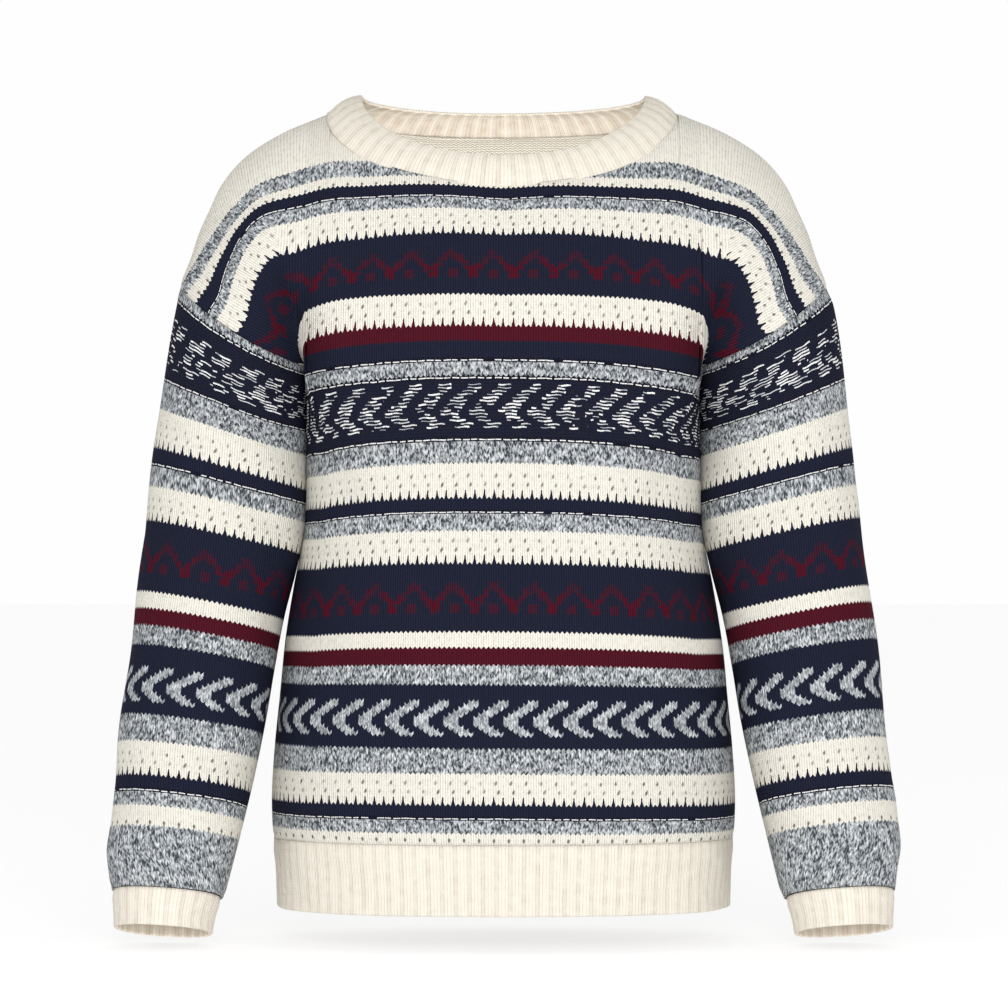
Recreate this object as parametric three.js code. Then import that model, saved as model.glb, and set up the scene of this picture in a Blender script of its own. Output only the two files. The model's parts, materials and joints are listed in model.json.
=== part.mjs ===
// Striped crew-neck sweater with dropped shoulders, in worn shape and hollow.
// Millimetres. +X is the viewer's right, -Y the front, +Z up. The origin lies between the two
// high points of the neck, where a wearer's shoulders carry the garment.
import * as THREE from 'three';

// ---------------------------------------------------------------- driving dimensions
const WALL = 2.5;             // knitted panel
const RIB_WALL = 3;           // ribbed bands
const SEAM_GAP = 0.3;         // between the pieces that a seam joins
const MITRE_LIMIT = 2.5;      // most that the wall grows in a sharp fold
const HEM_SEAM_Z = -545;
const HEM_Z = -596;
const ARMPIT = { x: 143, z: -201 };
const NECK_HALF_WIDTH = 127.5;
const DROP_SEAM_ANGLE = 31.5; // the drop seam's slope from level, about the armpit
const FOLD_ANGLE = 79;        // the fold that rises from the armpit
const RIDGE_Y = 12;           // the shoulder line at the neck lies this far back
const COURSES_ABOVE_ARMPIT = 10;
const CREAM = 0xe9e2d2;
const NAVY = 0x23283f;

// Rings of the body below the armpits. square is the exponent of a rounded oval.
const BODY = [
  { z: -201, halfWidth: 145, front: 113, back: 110, square: 3.0 },
  { z: -225, halfWidth: 139, front: 116, back: 111, square: 2.9 },
  { z: -255, halfWidth: 141, front: 118, back: 112, square: 2.8 },
  { z: -290, halfWidth: 141, front: 119, back: 112, square: 2.75 },
  { z: -325, halfWidth: 144.5, front: 119, back: 112, square: 2.7 },
  { z: -360, halfWidth: 153, front: 118, back: 111, square: 2.6 },
  { z: -400, halfWidth: 160, front: 117, back: 110, square: 2.5 },
  { z: -440, halfWidth: 164, front: 116, back: 109, square: 2.45 },
  { z: -480, halfWidth: 168, front: 116, back: 108, square: 2.4 },
  { z: -520, halfWidth: 170, front: 115, back: 107, square: 2.4 },
  { z: -545, halfWidth: 169, front: 112, back: 104, square: 2.4 },
  { z: -570, halfWidth: 167, front: 109, back: 101, square: 2.4 },
  { z: -596, halfWidth: 165.5, front: 108, back: 100, square: 2.4 },
];

// The shoulder line: its height over the body, and its reach from the armpit over the arm.
const SHOULDER_HEIGHT = [
  { x: 0, z: -7 }, { x: 100, z: -9 }, { x: 127.5, z: -13.5 }, { x: 143, z: -19.5 },
];
const SHOULDER_REACH = [
  { angle: 31.5, reach: 111.5 }, { angle: 43.6, reach: 119 }, { angle: 51, reach: 128 },
  { angle: 58, reach: 137.5 }, { angle: 64.4, reach: 149 }, { angle: 71.7, reach: 160 },
  { angle: 81.8, reach: 172 }, { angle: 90, reach: 181.5 },
];

// Rings of a sleeve from the drop seam down, each given by its outer and its inner point.
// y is the ring's middle, depth its half depth, sag how far front and back hang below its
// plane, tilt how far its front is turned up in degrees, square its exponent as above.
const SLEEVE = [
  { outX: 238.1, outZ: -142.7, inX: 143.0, inZ: -201.0, y: 0, depth: 62, sag: 7, tilt: 0, square: 2 },
  { outX: 243.0, outZ: -170.0, inX: 143.5, inZ: -221.0, y: -1, depth: 61, sag: 6, tilt: 0, square: 2.1 },
  { outX: 249.5, outZ: -210.0, inX: 143.5, inZ: -248.5, y: -4, depth: 60, sag: 3, tilt: 1, square: 2.2 },
  { outX: 255.5, outZ: -255.0, inX: 143.7, inZ: -288.0, y: -8, depth: 59, sag: 1, tilt: 2, square: 2.25 },
  { outX: 259.0, outZ: -289.0, inX: 144.5, inZ: -316.0, y: -12, depth: 58, sag: 0, tilt: 3, square: 2.25 },
  { outX: 262.5, outZ: -325.0, inX: 151.5, inZ: -349.0, y: -16, depth: 57, sag: 0, tilt: 4, square: 2.25 },
  { outX: 267.0, outZ: -362.0, inX: 160.0, inZ: -383.0, y: -20, depth: 56, sag: 0, tilt: 5.5, square: 2.25 },
  { outX: 272.0, outZ: -403.0, inX: 167.0, inZ: -421.0, y: -25, depth: 55, sag: 0, tilt: 7, square: 2.25 },
  { outX: 277.5, outZ: -446.0, inX: 173.5, inZ: -461.0, y: -31, depth: 54, sag: 0, tilt: 8, square: 2.25 },
  { outX: 282.0, outZ: -486.0, inX: 181.0, inZ: -498.5, y: -37, depth: 52, sag: 0, tilt: 9, square: 2.25 },
  { outX: 285.0, outZ: -520.0, inX: 188.5, inZ: -531.0, y: -42, depth: 49, sag: 0, tilt: 10, square: 2.25 },
  { outX: 286.0, outZ: -552.0, inX: 195.5, inZ: -559.5, y: -47, depth: 45, sag: 0, tilt: 11, square: 2.25 },
  { outX: 284.5, outZ: -581.0, inX: 202.5, inZ: -586.5, y: -52, depth: 39, sag: 0, tilt: 12, square: 2.25 },
];
const CUFF = [
  { outX: 284.2, outZ: -581.3, inX: 202.8, inZ: -586.8, y: -52, depth: 38, sag: 0, tilt: 12, square: 2.25 },
  { outX: 284.0, outZ: -594.0, inX: 205.5, inZ: -599.0, y: -54, depth: 36, sag: 0, tilt: 12, square: 2.25 },
  { outX: 283.5, outZ: -608.0, inX: 208.5, inZ: -612.5, y: -57, depth: 34, sag: 0, tilt: 12, square: 2.25 },
];
const SLEEVE_SIDES = 2 * COURSES_ABOVE_ARMPIT;

// The columns of a panel: across the body to the armpit, then round over the shoulder.
const BODY_COLUMNS = [0, 24, 47, 69, 89, 106, 119, NECK_HALF_WIDTH, 135, ARMPIT.x];
const SHOULDER_COLUMNS = [85, FOLD_ANGLE, 73, 65, 57, 48, 40, DROP_SEAM_ANGLE];

// ---------------------------------------------------------------- helpers
const radians = (degrees) => (degrees * Math.PI) / 180;
const mix = (a, b, t) => a + (b - a) * t;
const smooth = (t) => {
  const u = Math.min(1, Math.max(0, t));
  return u * u * (3 - 2 * u);
};

// A value from a table of rows, read along one named column.
function read(table, along, wanted, at) {
  const rows = [...table].sort((a, b) => a[along] - b[along]);
  const next = rows.findIndex((row) => row[along] >= at);
  if (next === 0) return rows[0][wanted];
  if (next < 0) return rows[rows.length - 1][wanted];
  const [a, b] = [rows[next - 1], rows[next]];
  return mix(a[wanted], b[wanted], (at - a[along]) / (b[along] - a[along]));
}

// Points at the wanted shares of a line's length.
function spaced(line, shares) {
  const along = [0];
  for (let i = 1; i < line.length; i += 1) {
    along.push(along[i - 1] + line[i].distanceTo(line[i - 1]));
  }
  const whole = along[along.length - 1];
  return shares.map((share) => {
    const at = share * whole;
    const i = Math.max(1, along.findIndex((d) => d >= at - 1e-9));
    const t = (at - along[i - 1]) / (along[i] - along[i - 1]);
    return line[i - 1].clone().lerp(line[i], t);
  });
}

const DIRECTION = { front: -1, back: 1 };
const power = (value, exponent) => Math.sign(value) * Math.abs(value) ** exponent;

// ---------------------------------------------------------------- the body's form
// A quarter of a body ring, from its middle at the front or back to the side seam.
function quarterRing(z, side) {
  const width = read(BODY, 'z', 'halfWidth', z);
  const depth = read(BODY, 'z', side, z);
  const square = read(BODY, 'z', 'square', z);
  const line = [];
  for (let i = 0; i <= 90; i += 1) {
    const turn = radians(i);
    const x = width * power(Math.sin(turn), 2 / square);
    const y = depth * power(Math.cos(turn), 2 / square);
    line.push(new THREE.Vector3(x, DIRECTION[side] * y, z));
  }
  return line;
}

// How much of the depth is left beside the fold that rises from the armpit. It dies out
// towards the drop seam.
function besideFold(x, z, angle) {
  const [dx, dz] = [x - ARMPIT.x, z - ARMPIT.z];
  const fold = new THREE.Vector2(Math.cos(radians(FOLD_ANGLE)), Math.sin(radians(FOLD_ANGLE)));
  const reach = Math.max(0, dx * fold.x + dz * fold.y);
  const apart = Math.abs(dx * fold.y - dz * fold.x);
  const strength = 0.48 * (1 - smooth((reach - 30) / 85)) * smooth((angle - DROP_SEAM_ANGLE) / 35);
  return 1 - strength * Math.exp(-apart / 13);
}

// A column over the body above the armpits stays at one x and rises to the shoulder line,
// or to the neck seam. share is 0 at armpit level and 1 at its end.
function bodyColumn(x, side, share) {
  const top = read(SHOULDER_HEIGHT, 'x', 'z', x);
  const flat = 1 - (x / ARMPIT.x) ** 2;
  const depth = side === 'front' ? 85 + 28 * flat : 83 + 27 * flat;
  const height = top - ARMPIT.z;
  const last = x < NECK_HALF_WIDTH ? Math.asin((neckSeamZ(x, side) - ARMPIT.z) / height) : Math.PI / 2;
  const turn = last * share;
  const z = ARMPIT.z + height * Math.sin(turn);
  const foot = DIRECTION[side] * depth;
  const y = RIDGE_Y + (foot - RIDGE_Y) * Math.cos(turn);
  return new THREE.Vector3(x, y * besideFold(x, z, 90), z);
}

function neckSeamZ(x, side) {
  const drop = side === 'front' ? 57.5 : 13;
  const corner = read(SHOULDER_HEIGHT, 'x', 'z', NECK_HALF_WIDTH);
  return corner - drop * (1 - (x / NECK_HALF_WIDTH) ** 2) ** 0.53;
}

// A column over the dropped shoulder lies in a plane that turns about the armpit.
function shoulderColumn(angle, side, share) {
  const open = (90 - angle) / (90 - DROP_SEAM_ANGLE);
  const reach = read(SHOULDER_REACH, 'angle', 'reach', angle);
  const ridgeY = RIDGE_Y * (1 - open);
  const depth = mix(side === 'front' ? 85 + RIDGE_Y : 83 - RIDGE_Y, SLEEVE[0].depth, smooth(open));
  const first = -Math.acos(Math.max(0, 1 - open));
  const radius = reach / (1 - Math.sin(first));
  const turn = mix(first, Math.PI / 2, share);
  const out = reach - radius + radius * Math.sin(turn);
  const x = ARMPIT.x + out * Math.cos(radians(angle));
  const z = ARMPIT.z + out * Math.sin(radians(angle));
  const y = (ridgeY + DIRECTION[side] * depth * Math.cos(turn)) * besideFold(x, z, angle);
  const sag = SLEEVE[0].sag * open * (Math.abs(y) / SLEEVE[0].depth) ** 2;
  const point = new THREE.Vector3(x, y, z);
  point.x += sag * Math.sin(radians(angle));
  point.z -= sag * Math.cos(radians(angle));
  return point;
}

// The seam gap is shared by the front and the back, which both stop short of y = middle.
function stopShort(point, middle, side) {
  point.y = middle + (DIRECTION[side] * SEAM_GAP) / 2;
  return point;
}

// Half of a panel's columns, from its middle to its side, each from the bottom up.
function halfPanel(side, bottom) {
  const foot = [
    ...BODY_COLUMNS.map((x) => bodyColumn(x, side, 0)),
    ...SHOULDER_COLUMNS.map((angle) => shoulderColumn(angle, side, 0)),
  ];
  const along = [0];
  foot.slice(1).forEach((p, i) => along.push(along[i] + p.distanceTo(foot[i])));
  const shares = along.map((d) => d / along[along.length - 1]);
  const heights = BODY.map((row) => row.z).filter((z) => z >= bottom && z < ARMPIT.z).reverse();
  const rings = heights.map((z) => {
    const ring = spaced(quarterRing(z, side), shares);
    const toArmpit = smooth((z - ARMPIT.z + 60) / 60);
    return ring.map((p, i) => p.lerp(foot[i].clone().setZ(z), toArmpit));
  });
  const above = [];
  for (let course = 0; course <= COURSES_ABOVE_ARMPIT; course += 1) {
    const share = course / COURSES_ABOVE_ARMPIT;
    above.push([
      ...BODY_COLUMNS.map((x) => bodyColumn(x, side, share)),
      ...SHOULDER_COLUMNS.map((angle) => shoulderColumn(angle, side, share)),
    ]);
  }
  const neckColumn = BODY_COLUMNS.indexOf(NECK_HALF_WIDTH);
  above[COURSES_ABOVE_ARMPIT].forEach((p, i) => i >= neckColumn && stopShort(p, p.y, side));
  const rows = [...rings, ...above];
  rows.slice(0, rings.length + 1).forEach((row) => stopShort(row[row.length - 1], 0, side));
  return rows;
}

// A whole row: the mirror image of the half row, then the half row, turned to face outward.
function wholeRow(half, side) {
  const mirrored = half.slice(1).reverse().map((p) => new THREE.Vector3(-p.x, p.y, p.z));
  const row = [...mirrored, ...half.map((p) => p.clone())];
  return side === 'front' ? row : row.reverse();
}

// ---------------------------------------------------------------- cloth from a grid
// Makes a closed shell from a grid of outer points: rows of columns, round a tube or not.
// setNormal may turn a border's normal, so that pieces joined by a seam stay apart.
function clothShell(grid, wall, round, setNormal) {
  const [rows, columns] = [grid.length, grid[0].length];
  const cell = (i, j) => {
    const right = round ? (j + 1) % columns : j + 1;
    const a = new THREE.Vector3().subVectors(grid[i + 1][right], grid[i][j]);
    const b = new THREE.Vector3().subVectors(grid[i + 1][j], grid[i][right]);
    return a.cross(b).normalize();
  };
  const cellColumns = round ? columns : columns - 1;
  const inner = grid.map((row, i) => row.map((point, j) => {
    const near = [];
    for (const ci of [i - 1, i]) {
      for (const cj of [j - 1, j]) {
        const wrapped = round ? (cj + columns) % columns : cj;
        if (ci >= 0 && ci < rows - 1 && wrapped >= 0 && wrapped < cellColumns) {
          near.push(cell(ci, wrapped));
        }
      }
    }
    const normal = near.reduce((sum, n) => sum.add(n), new THREE.Vector3()).normalize();
    const spread = Math.min(...near.map((n) => n.dot(normal)));
    const grown = Math.min(1 / Math.max(spread, 0.01), MITRE_LIMIT);
    const used = setNormal ? setNormal(normal, i, j) : normal;
    return point.clone().addScaledVector(used, -wall * grown);
  }));
  const vertices = [...grid.flat(), ...inner.flat()].flatMap((p) => [p.x, p.y, p.z]);
  const outside = (i, j) => i * columns + (round ? j % columns : j);
  const inside = (i, j) => rows * columns + outside(i, j);
  const faces = [];
  const quad = (a, b, c, d) => faces.push(a, b, c, a, c, d);
  for (let i = 0; i < rows - 1; i += 1) {
    for (let j = 0; j < cellColumns; j += 1) {
      quad(outside(i, j), outside(i, j + 1), outside(i + 1, j + 1), outside(i + 1, j));
      quad(inside(i, j), inside(i + 1, j), inside(i + 1, j + 1), inside(i, j + 1));
    }
  }
  for (let j = 0; j < cellColumns; j += 1) {
    quad(outside(0, j), inside(0, j), inside(0, j + 1), outside(0, j + 1));
    const top = rows - 1;
    quad(outside(top, j), outside(top, j + 1), inside(top, j + 1), inside(top, j));
  }
  for (let i = 0; !round && i < rows - 1; i += 1) {
    const last = columns - 1;
    quad(outside(i, 0), outside(i + 1, 0), inside(i + 1, 0), inside(i, 0));
    quad(outside(i, last), inside(i, last), inside(i + 1, last), outside(i + 1, last));
  }
  const geometry = new THREE.BufferGeometry();
  geometry.setAttribute('position', new THREE.Float32BufferAttribute(vertices, 3));
  geometry.setIndex(faces);
  geometry.computeVertexNormals();
  return geometry;
}

function piece(name, geometry, colour) {
  const material = new THREE.MeshStandardMaterial({ color: colour, roughness: 0.95, metalness: 0 });
  const mesh = new THREE.Mesh(geometry, material);
  mesh.name = name;
  return mesh;
}

const withoutY = (normal) => new THREE.Vector3(normal.x, 0, normal.z).normalize();

// ---------------------------------------------------------------- panels and hem
function panel(side) {
  const half = halfPanel(side, HEM_SEAM_Z);
  const grid = half.map((row) => wholeRow(row, side));
  const bodyRows = half.length - COURSES_ABOVE_ARMPIT;
  const middle = half[0].length - 1;
  const neck = BODY_COLUMNS.indexOf(NECK_HALF_WIDTH);
  const axis = (sign) => new THREE.Vector3(
    sign * Math.sin(radians(DROP_SEAM_ANGLE)), 0, -Math.cos(radians(DROP_SEAM_ANGLE)),
  );
  const setNormal = (normal, i, j) => {
    const column = Math.abs(j - middle);
    const atSide = column === middle;
    const atTop = i === half.length - 1;
    if (atSide && !atTop && i >= bodyRows) {
      const along = axis(Math.sign(grid[i][j].x));
      return normal.clone().addScaledVector(along, -normal.dot(along)).normalize();
    }
    if (i === 0) return new THREE.Vector3(normal.x, normal.y, 0).normalize();
    if (atSide || (atTop && column >= neck)) return withoutY(normal);
    return normal;
  };
  return piece(`${side}_panel`, clothShell(grid, WALL, false, setNormal), NAVY);
}

function hemRib(side) {
  const rows = halfPanel(side, HEM_Z).slice(0, 3);
  rows[2].forEach((p) => { p.z -= SEAM_GAP; });
  const grid = rows.map((row) => wholeRow(row, side));
  const last = grid[0].length - 1;
  const setNormal = (normal, i, j) => {
    const level = new THREE.Vector3(normal.x, normal.y, 0).normalize();
    return j === 0 || j === last ? withoutY(level) : level;
  };
  return piece(`${side}_hem_rib`, clothShell(grid, RIB_WALL, false, setNormal), CREAM);
}

// ---------------------------------------------------------------- sleeves and cuffs
// One ring, from its inner point round by the front to its outer point and on by the back.
function sleeveRing(row, sign) {
  const inner = new THREE.Vector3(row.inX, row.y, row.inZ);
  const outer = new THREE.Vector3(row.outX, row.y, row.outZ);
  const middle = inner.clone().lerp(outer, 0.5);
  const across = outer.clone().sub(middle);
  const down = new THREE.Vector3(-across.z, 0, across.x).normalize().negate();
  const tilt = radians(row.tilt);
  const ring = [];
  for (let i = 0; i < SLEEVE_SIDES; i += 1) {
    const turn = (2 * Math.PI * i) / SLEEVE_SIDES;
    const out = -power(Math.cos(turn), 2 / row.square);
    const front = power(Math.sin(turn), 2 / row.square);
    const point = middle.clone().addScaledVector(across, out);
    point.y -= row.depth * front * Math.cos(tilt);
    point.addScaledVector(down, row.sag * front ** 2 - row.depth * front * Math.sin(tilt));
    ring.push(point.setX(sign * point.x));
  }
  return sign > 0 ? ring : [ring[0], ...ring.slice(1).reverse()];
}

function tube(rows, sign, wall) {
  const grid = [...rows].reverse().map((row) => sleeveRing(row, sign));
  const setNormal = (normal, i) => {
    if (i > 0 && i < grid.length - 1) return normal;
    const row = rows[rows.length - 1 - i];
    const across = new THREE.Vector3(sign * (row.outX - row.inX), 0, row.outZ - row.inZ);
    const along = new THREE.Vector3(-across.z, 0, across.x).normalize();
    return normal.clone().addScaledVector(along, -normal.dot(along)).normalize();
  };
  return clothShell(grid, wall, true, setNormal);
}

const sideName = (sign) => (sign < 0 ? 'left_side' : 'right_side');

function sleeve(sign) {
  const [first, ...rest] = SLEEVE;
  const angle = radians(DROP_SEAM_ANGLE);
  const [dx, dz] = [SEAM_GAP * Math.sin(angle), -SEAM_GAP * Math.cos(angle)];
  const moved = { ...first, outX: first.outX + dx, outZ: first.outZ + dz };
  moved.inX += dx;
  moved.inZ += dz;
  return piece(`${sideName(sign)}_sleeve`, tube([moved, ...rest], sign, WALL), NAVY);
}

function cuff(sign) {
  return piece(`${sideName(sign)}_cuff`, tube(CUFF, sign, RIB_WALL), CREAM);
}

// ---------------------------------------------------------------- neckband
// The rim leans inward and up from the neck seam, and lies lowest at its front.
const RIM = { halfWidth: 104, front: { depth: 80, drop: 49 }, back: { depth: 33, drop: 10 } };

function neckband() {
  const side = (name) => BODY_COLUMNS.filter((x) => x <= NECK_HALF_WIDTH).map((x) => {
    const seam = bodyColumn(x, name, 1);
    const ahead = Math.sqrt(Math.max(0, 1 - (x / NECK_HALF_WIDTH) ** 2));
    const rim = new THREE.Vector3(
      (RIM.halfWidth * x) / NECK_HALF_WIDTH,
      RIDGE_Y + DIRECTION[name] * RIM[name].depth * ahead ** 0.75,
      -RIM[name].drop * ahead ** 1.06,
    );
    return { seam, rim };
  });
  const round = (half, backHalf) => {
    const flip = ({ seam, rim }) => ({
      seam: new THREE.Vector3(-seam.x, seam.y, seam.z), rim: new THREE.Vector3(-rim.x, rim.y, rim.z),
    });
    return [
      ...half.slice(1).reverse().map(flip), ...half,
      ...backHalf.slice(0, -1).reverse(), ...backHalf.slice(1, -1).map(flip),
    ];
  };
  const ribs = round(side('front'), side('back'));
  const grid = [0, 1, 2, 3].map((step) => ribs.map(({ seam, rim }) => {
    const along = rim.clone().sub(seam);
    const share = mix(SEAM_GAP / along.length(), 1, step / 3);
    const point = seam.clone().addScaledVector(along, share);
    point.z += 3 * Math.sin(Math.PI * share);
    return point;
  }));
  return piece('neckband', clothShell(grid, RIB_WALL, true), CREAM);
}

// ---------------------------------------------------------------- the garment
const sweater = new THREE.Group();
sweater.add(panel('front'), panel('back'), hemRib('front'), hemRib('back'), neckband());
for (const sign of [-1, 1]) sweater.add(sleeve(sign), cuff(sign));
export default sweater;
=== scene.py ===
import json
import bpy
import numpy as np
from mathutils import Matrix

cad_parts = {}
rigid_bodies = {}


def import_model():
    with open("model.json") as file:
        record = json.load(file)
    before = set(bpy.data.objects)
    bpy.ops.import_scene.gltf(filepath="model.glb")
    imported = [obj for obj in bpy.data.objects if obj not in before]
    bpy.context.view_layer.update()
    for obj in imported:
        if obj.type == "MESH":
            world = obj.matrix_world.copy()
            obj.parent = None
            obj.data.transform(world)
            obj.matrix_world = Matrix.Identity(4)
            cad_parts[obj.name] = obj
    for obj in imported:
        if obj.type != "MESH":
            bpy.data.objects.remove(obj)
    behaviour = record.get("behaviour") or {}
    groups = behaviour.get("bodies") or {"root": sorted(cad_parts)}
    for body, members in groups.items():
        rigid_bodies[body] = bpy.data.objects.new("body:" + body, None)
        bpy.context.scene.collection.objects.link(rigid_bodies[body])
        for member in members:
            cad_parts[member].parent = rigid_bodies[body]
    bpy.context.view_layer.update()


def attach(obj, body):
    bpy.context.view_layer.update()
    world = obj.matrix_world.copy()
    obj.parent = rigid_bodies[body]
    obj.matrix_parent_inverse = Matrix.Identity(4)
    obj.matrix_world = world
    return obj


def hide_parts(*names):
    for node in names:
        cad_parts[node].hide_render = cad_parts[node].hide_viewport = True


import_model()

# %% [markdown]
# # A striped sweater, filled out as if worn
# The real sweater is knitted in nine pieces: a front and a back panel, two sleeves, and ribbed
# bands at the neck, the hem and the wrists. The rigid model loaded above gives each of them its
# place. Here every one is built again as cloth, with its soft folds, its ribs and its stitches.
# All sizes are worked out in millimetres and turned into metres when a mesh is made.

MM = 0.001

# %% [markdown]
# ## The camera
# A garment is usually seen from far off with a long lens, straight on, so that its hem and its
# shoulders keep their true proportions. The camera stands 3.6 m in front, level, and half way
# up the sweater.

# %% Place the camera
camera = bpy.data.objects.new("front_camera", bpy.data.cameras.new("front_camera"))
bpy.context.scene.collection.objects.link(camera)
camera.data.sensor_width = 36
camera.data.lens = 174.9
camera.data.clip_end = 50
camera.location = (0.0004, -3.6, -0.30135)
camera.rotation_euler = (np.pi / 2, 0, 0)
bpy.context.scene.camera = camera
print("camera lens, mm:", camera.data.lens)

# %% [markdown]
# ## The shape of the body
# Knitwear has no hard edges, so its shape is a smooth function: for every place on the flat
# cloth it gives a point in space. Below the armpits the body is a stack of rounded ovals. The
# table gives each oval's height, half width, depth to the front and to the back, and how square
# it is. A smooth curve through the rows gives every height in between.

# %% Tables of the body
BODY = dict(
    z=[-596, -570, -545, -520, -480, -440, -400, -360, -325, -290, -255, -225, -201],
    half_width=[165.5, 167, 169, 170, 168, 164, 160, 153.5, 146.8, 144.8, 144.5, 144, 145],
    front=[108, 109, 112, 115, 116, 116, 117, 118, 119, 119, 118, 116, 113],
    back=[100, 101, 104, 107, 108, 109, 110, 111, 112, 112, 112, 111, 110],
    square=[2.4, 2.4, 2.4, 2.4, 2.4, 2.45, 2.5, 2.6, 2.7, 2.75, 2.8, 2.9, 3.0],
)
SHOULDER_HEIGHT = dict(x=[0, 100, 127.5, 143], z=[-7, -9, -13.5, -19.5])
SHOULDER_REACH = dict(
    angle=[31.5, 43.6, 51, 58, 64.4, 71.7, 81.8, 90],
    reach=[111.5, 119, 128, 137.5, 149, 160, 172, 181.5],
)
HEM_Z, HEM_SEAM_Z = -596, -545
ARMPIT_X, ARMPIT_Z = 143, -201
NECK_HALF_WIDTH = 127.5
DROP_SEAM_ANGLE, FOLD_ANGLE = 31.5, 79
RIDGE_Y = 12  # the shoulder line lies this far behind the middle
WAY = dict(front=-1, back=1)  # the sign of y on each side
ARMPIT_DEPTH, CHEST_BULGE = dict(front=85, back=83), dict(front=28, back=27)
NECK_DROP, DROP_SEAM_DEPTH = dict(front=57.5, back=13), 62
WALL, RIB_WALL = 2.5, 3.0
print("ovals of the body:", len(BODY["z"]), "from", BODY["z"][0], "to", BODY["z"][-1], "mm")

# %% A smooth curve through a table
def smooth(t):
    """0 below 0, 1 above 1, and an even S-curve between: 3t^2 - 2t^3."""
    t = np.clip(t, 0, 1)
    return t * t * (3 - 2 * t)


def curve(knots, values, at):
    """A smooth curve through the rows of a table: on each stretch the cubic that has, at both
    ends, the row's value and the slope between its neighbours. It stays level beyond the ends."""
    knots, values = np.asarray(knots, float), np.asarray(values, float)
    slopes = np.gradient(values, knots)
    at = np.clip(at, knots[0], knots[-1])
    i = np.clip(np.searchsorted(knots, at, side="right") - 1, 0, len(knots) - 2)
    width = knots[i + 1] - knots[i]
    t = (at - knots[i]) / width
    rise = values[i + 1] - values[i]
    bend_a, bend_b = slopes[i] * width - rise, rise - slopes[i + 1] * width
    return values[i] + t * rise + t * (1 - t) * (bend_a * (1 - t) + bend_b * t)


print("half width at the waist, mm:", round(float(curve(BODY["z"], BODY["half_width"], -300)), 1))

# %% [markdown]
# Above the armpits each column of the cloth rises over the chest to the shoulder line in a
# quarter of an ellipse. Outside the armpit the columns fan out round it, as the fabric does over
# a dropped shoulder, until the last one is the seam of the sleeve. A worn sweater has a deep
# fold that rises from the armpit, because the cloth is wider there than the body beneath.

# %% The fold, the shoulder line and the neck seam
def beside_fold(x, z, angle):
    """The share of the depth that is left beside the armpit's fold: 1 minus a dip that fades
    with the distance from the fold's line, and dies out upwards and towards the drop seam."""
    dx, dz = x - ARMPIT_X, z - ARMPIT_Z
    fold = np.radians(FOLD_ANGLE)
    reach = np.maximum(0, dx * np.cos(fold) + dz * np.sin(fold))
    apart = np.hypot(dx * np.sin(fold) - dz * np.cos(fold), 2.5) - 2.5
    strength = 0.48 * (1 - smooth((reach - 22) / 66)) * smooth((angle - DROP_SEAM_ANGLE) / 35)
    return 1 - strength * np.exp(-apart / 13)


def shoulder_top(x):
    """Height of the shoulder line at a distance x from the middle."""
    return curve(SHOULDER_HEIGHT["x"], SHOULDER_HEIGHT["z"], x)


def neck_seam_z(x, side):
    """Height of the neck seam: it falls from its corner by (1 - u^2)^0.53 of its drop, with u
    the distance from the middle as a share of the neck's half width."""
    open_share = np.clip(1 - (x / NECK_HALF_WIDTH) ** 2, 0, 1)
    return shoulder_top(NECK_HALF_WIDTH) - NECK_DROP[side] * open_share**0.53


print("neck seam at the front, mm:", round(float(neck_seam_z(0.0, "front")), 1))

# %% [markdown]
# The columns over the chest stand upright. Those over the shoulder each lie in a plane through
# the armpit, like the leaves of a fan.

# %% Columns above the armpit
def body_column(x, side, share, folded=True):
    """Points of the columns over the chest: a quarter ellipse from armpit level to the shoulder
    line, of which share runs from 0 at its foot to 1 at the shoulder or the neck seam. Its depth
    bulges by 1 - u^2 of the chest's bulge, with u the distance from the middle over the armpit's.
    folded says whether the armpit's fold is in."""
    depth = ARMPIT_DEPTH[side] + CHEST_BULGE[side] * (1 - (x / ARMPIT_X) ** 2)
    height = shoulder_top(x) - ARMPIT_Z
    to_neck = np.arcsin(np.clip((neck_seam_z(x, side) - ARMPIT_Z) / height, -1, 1))
    last = np.where(x < NECK_HALF_WIDTH, to_neck, np.pi / 2)
    turn = last * share
    z = ARMPIT_Z + height * np.sin(turn)
    y = RIDGE_Y + (WAY[side] * depth - RIDGE_Y) * np.cos(turn)
    y = y * beside_fold(x, z, 90.0) if folded else y
    return np.stack(np.broadcast_arrays(x, y, z), -1)


def shoulder_column(angle, side, share, folded=True):
    """Points of the columns that fan out round the armpit, each in a plane at its angle: an arc
    that swells from a quarter circle at the chest to a half circle at the drop seam."""
    opened = (90 - angle) / (90 - DROP_SEAM_ANGLE)
    reach = curve(SHOULDER_REACH["angle"], SHOULDER_REACH["reach"], angle)
    depth_at_chest = ARMPIT_DEPTH[side] - WAY[side] * RIDGE_Y
    depth = depth_at_chest + (DROP_SEAM_DEPTH - depth_at_chest) * smooth(opened)
    first = -np.arccos(np.clip(1 - opened, 0, 1)) * smooth(opened / 0.35)
    radius = reach / (1 - np.sin(first))
    turn = first + (np.pi / 2 - first) * share
    out = reach - radius + radius * np.sin(turn)
    slope = np.radians(angle)
    x, z = ARMPIT_X + out * np.cos(slope), ARMPIT_Z + out * np.sin(slope)
    y = RIDGE_Y * (1 - opened) + WAY[side] * depth * np.cos(turn)
    y = y * beside_fold(x, z, angle) if folded else y
    sag = 7 * opened * (np.abs(y) / DROP_SEAM_DEPTH) ** 2
    return np.stack([x + sag * np.sin(slope), y, z - sag * np.cos(slope)], -1)


drop_seam = shoulder_column(DROP_SEAM_ANGLE, "front", 1.0)
print("top of the drop seam, mm:", drop_seam.round(1))

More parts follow.
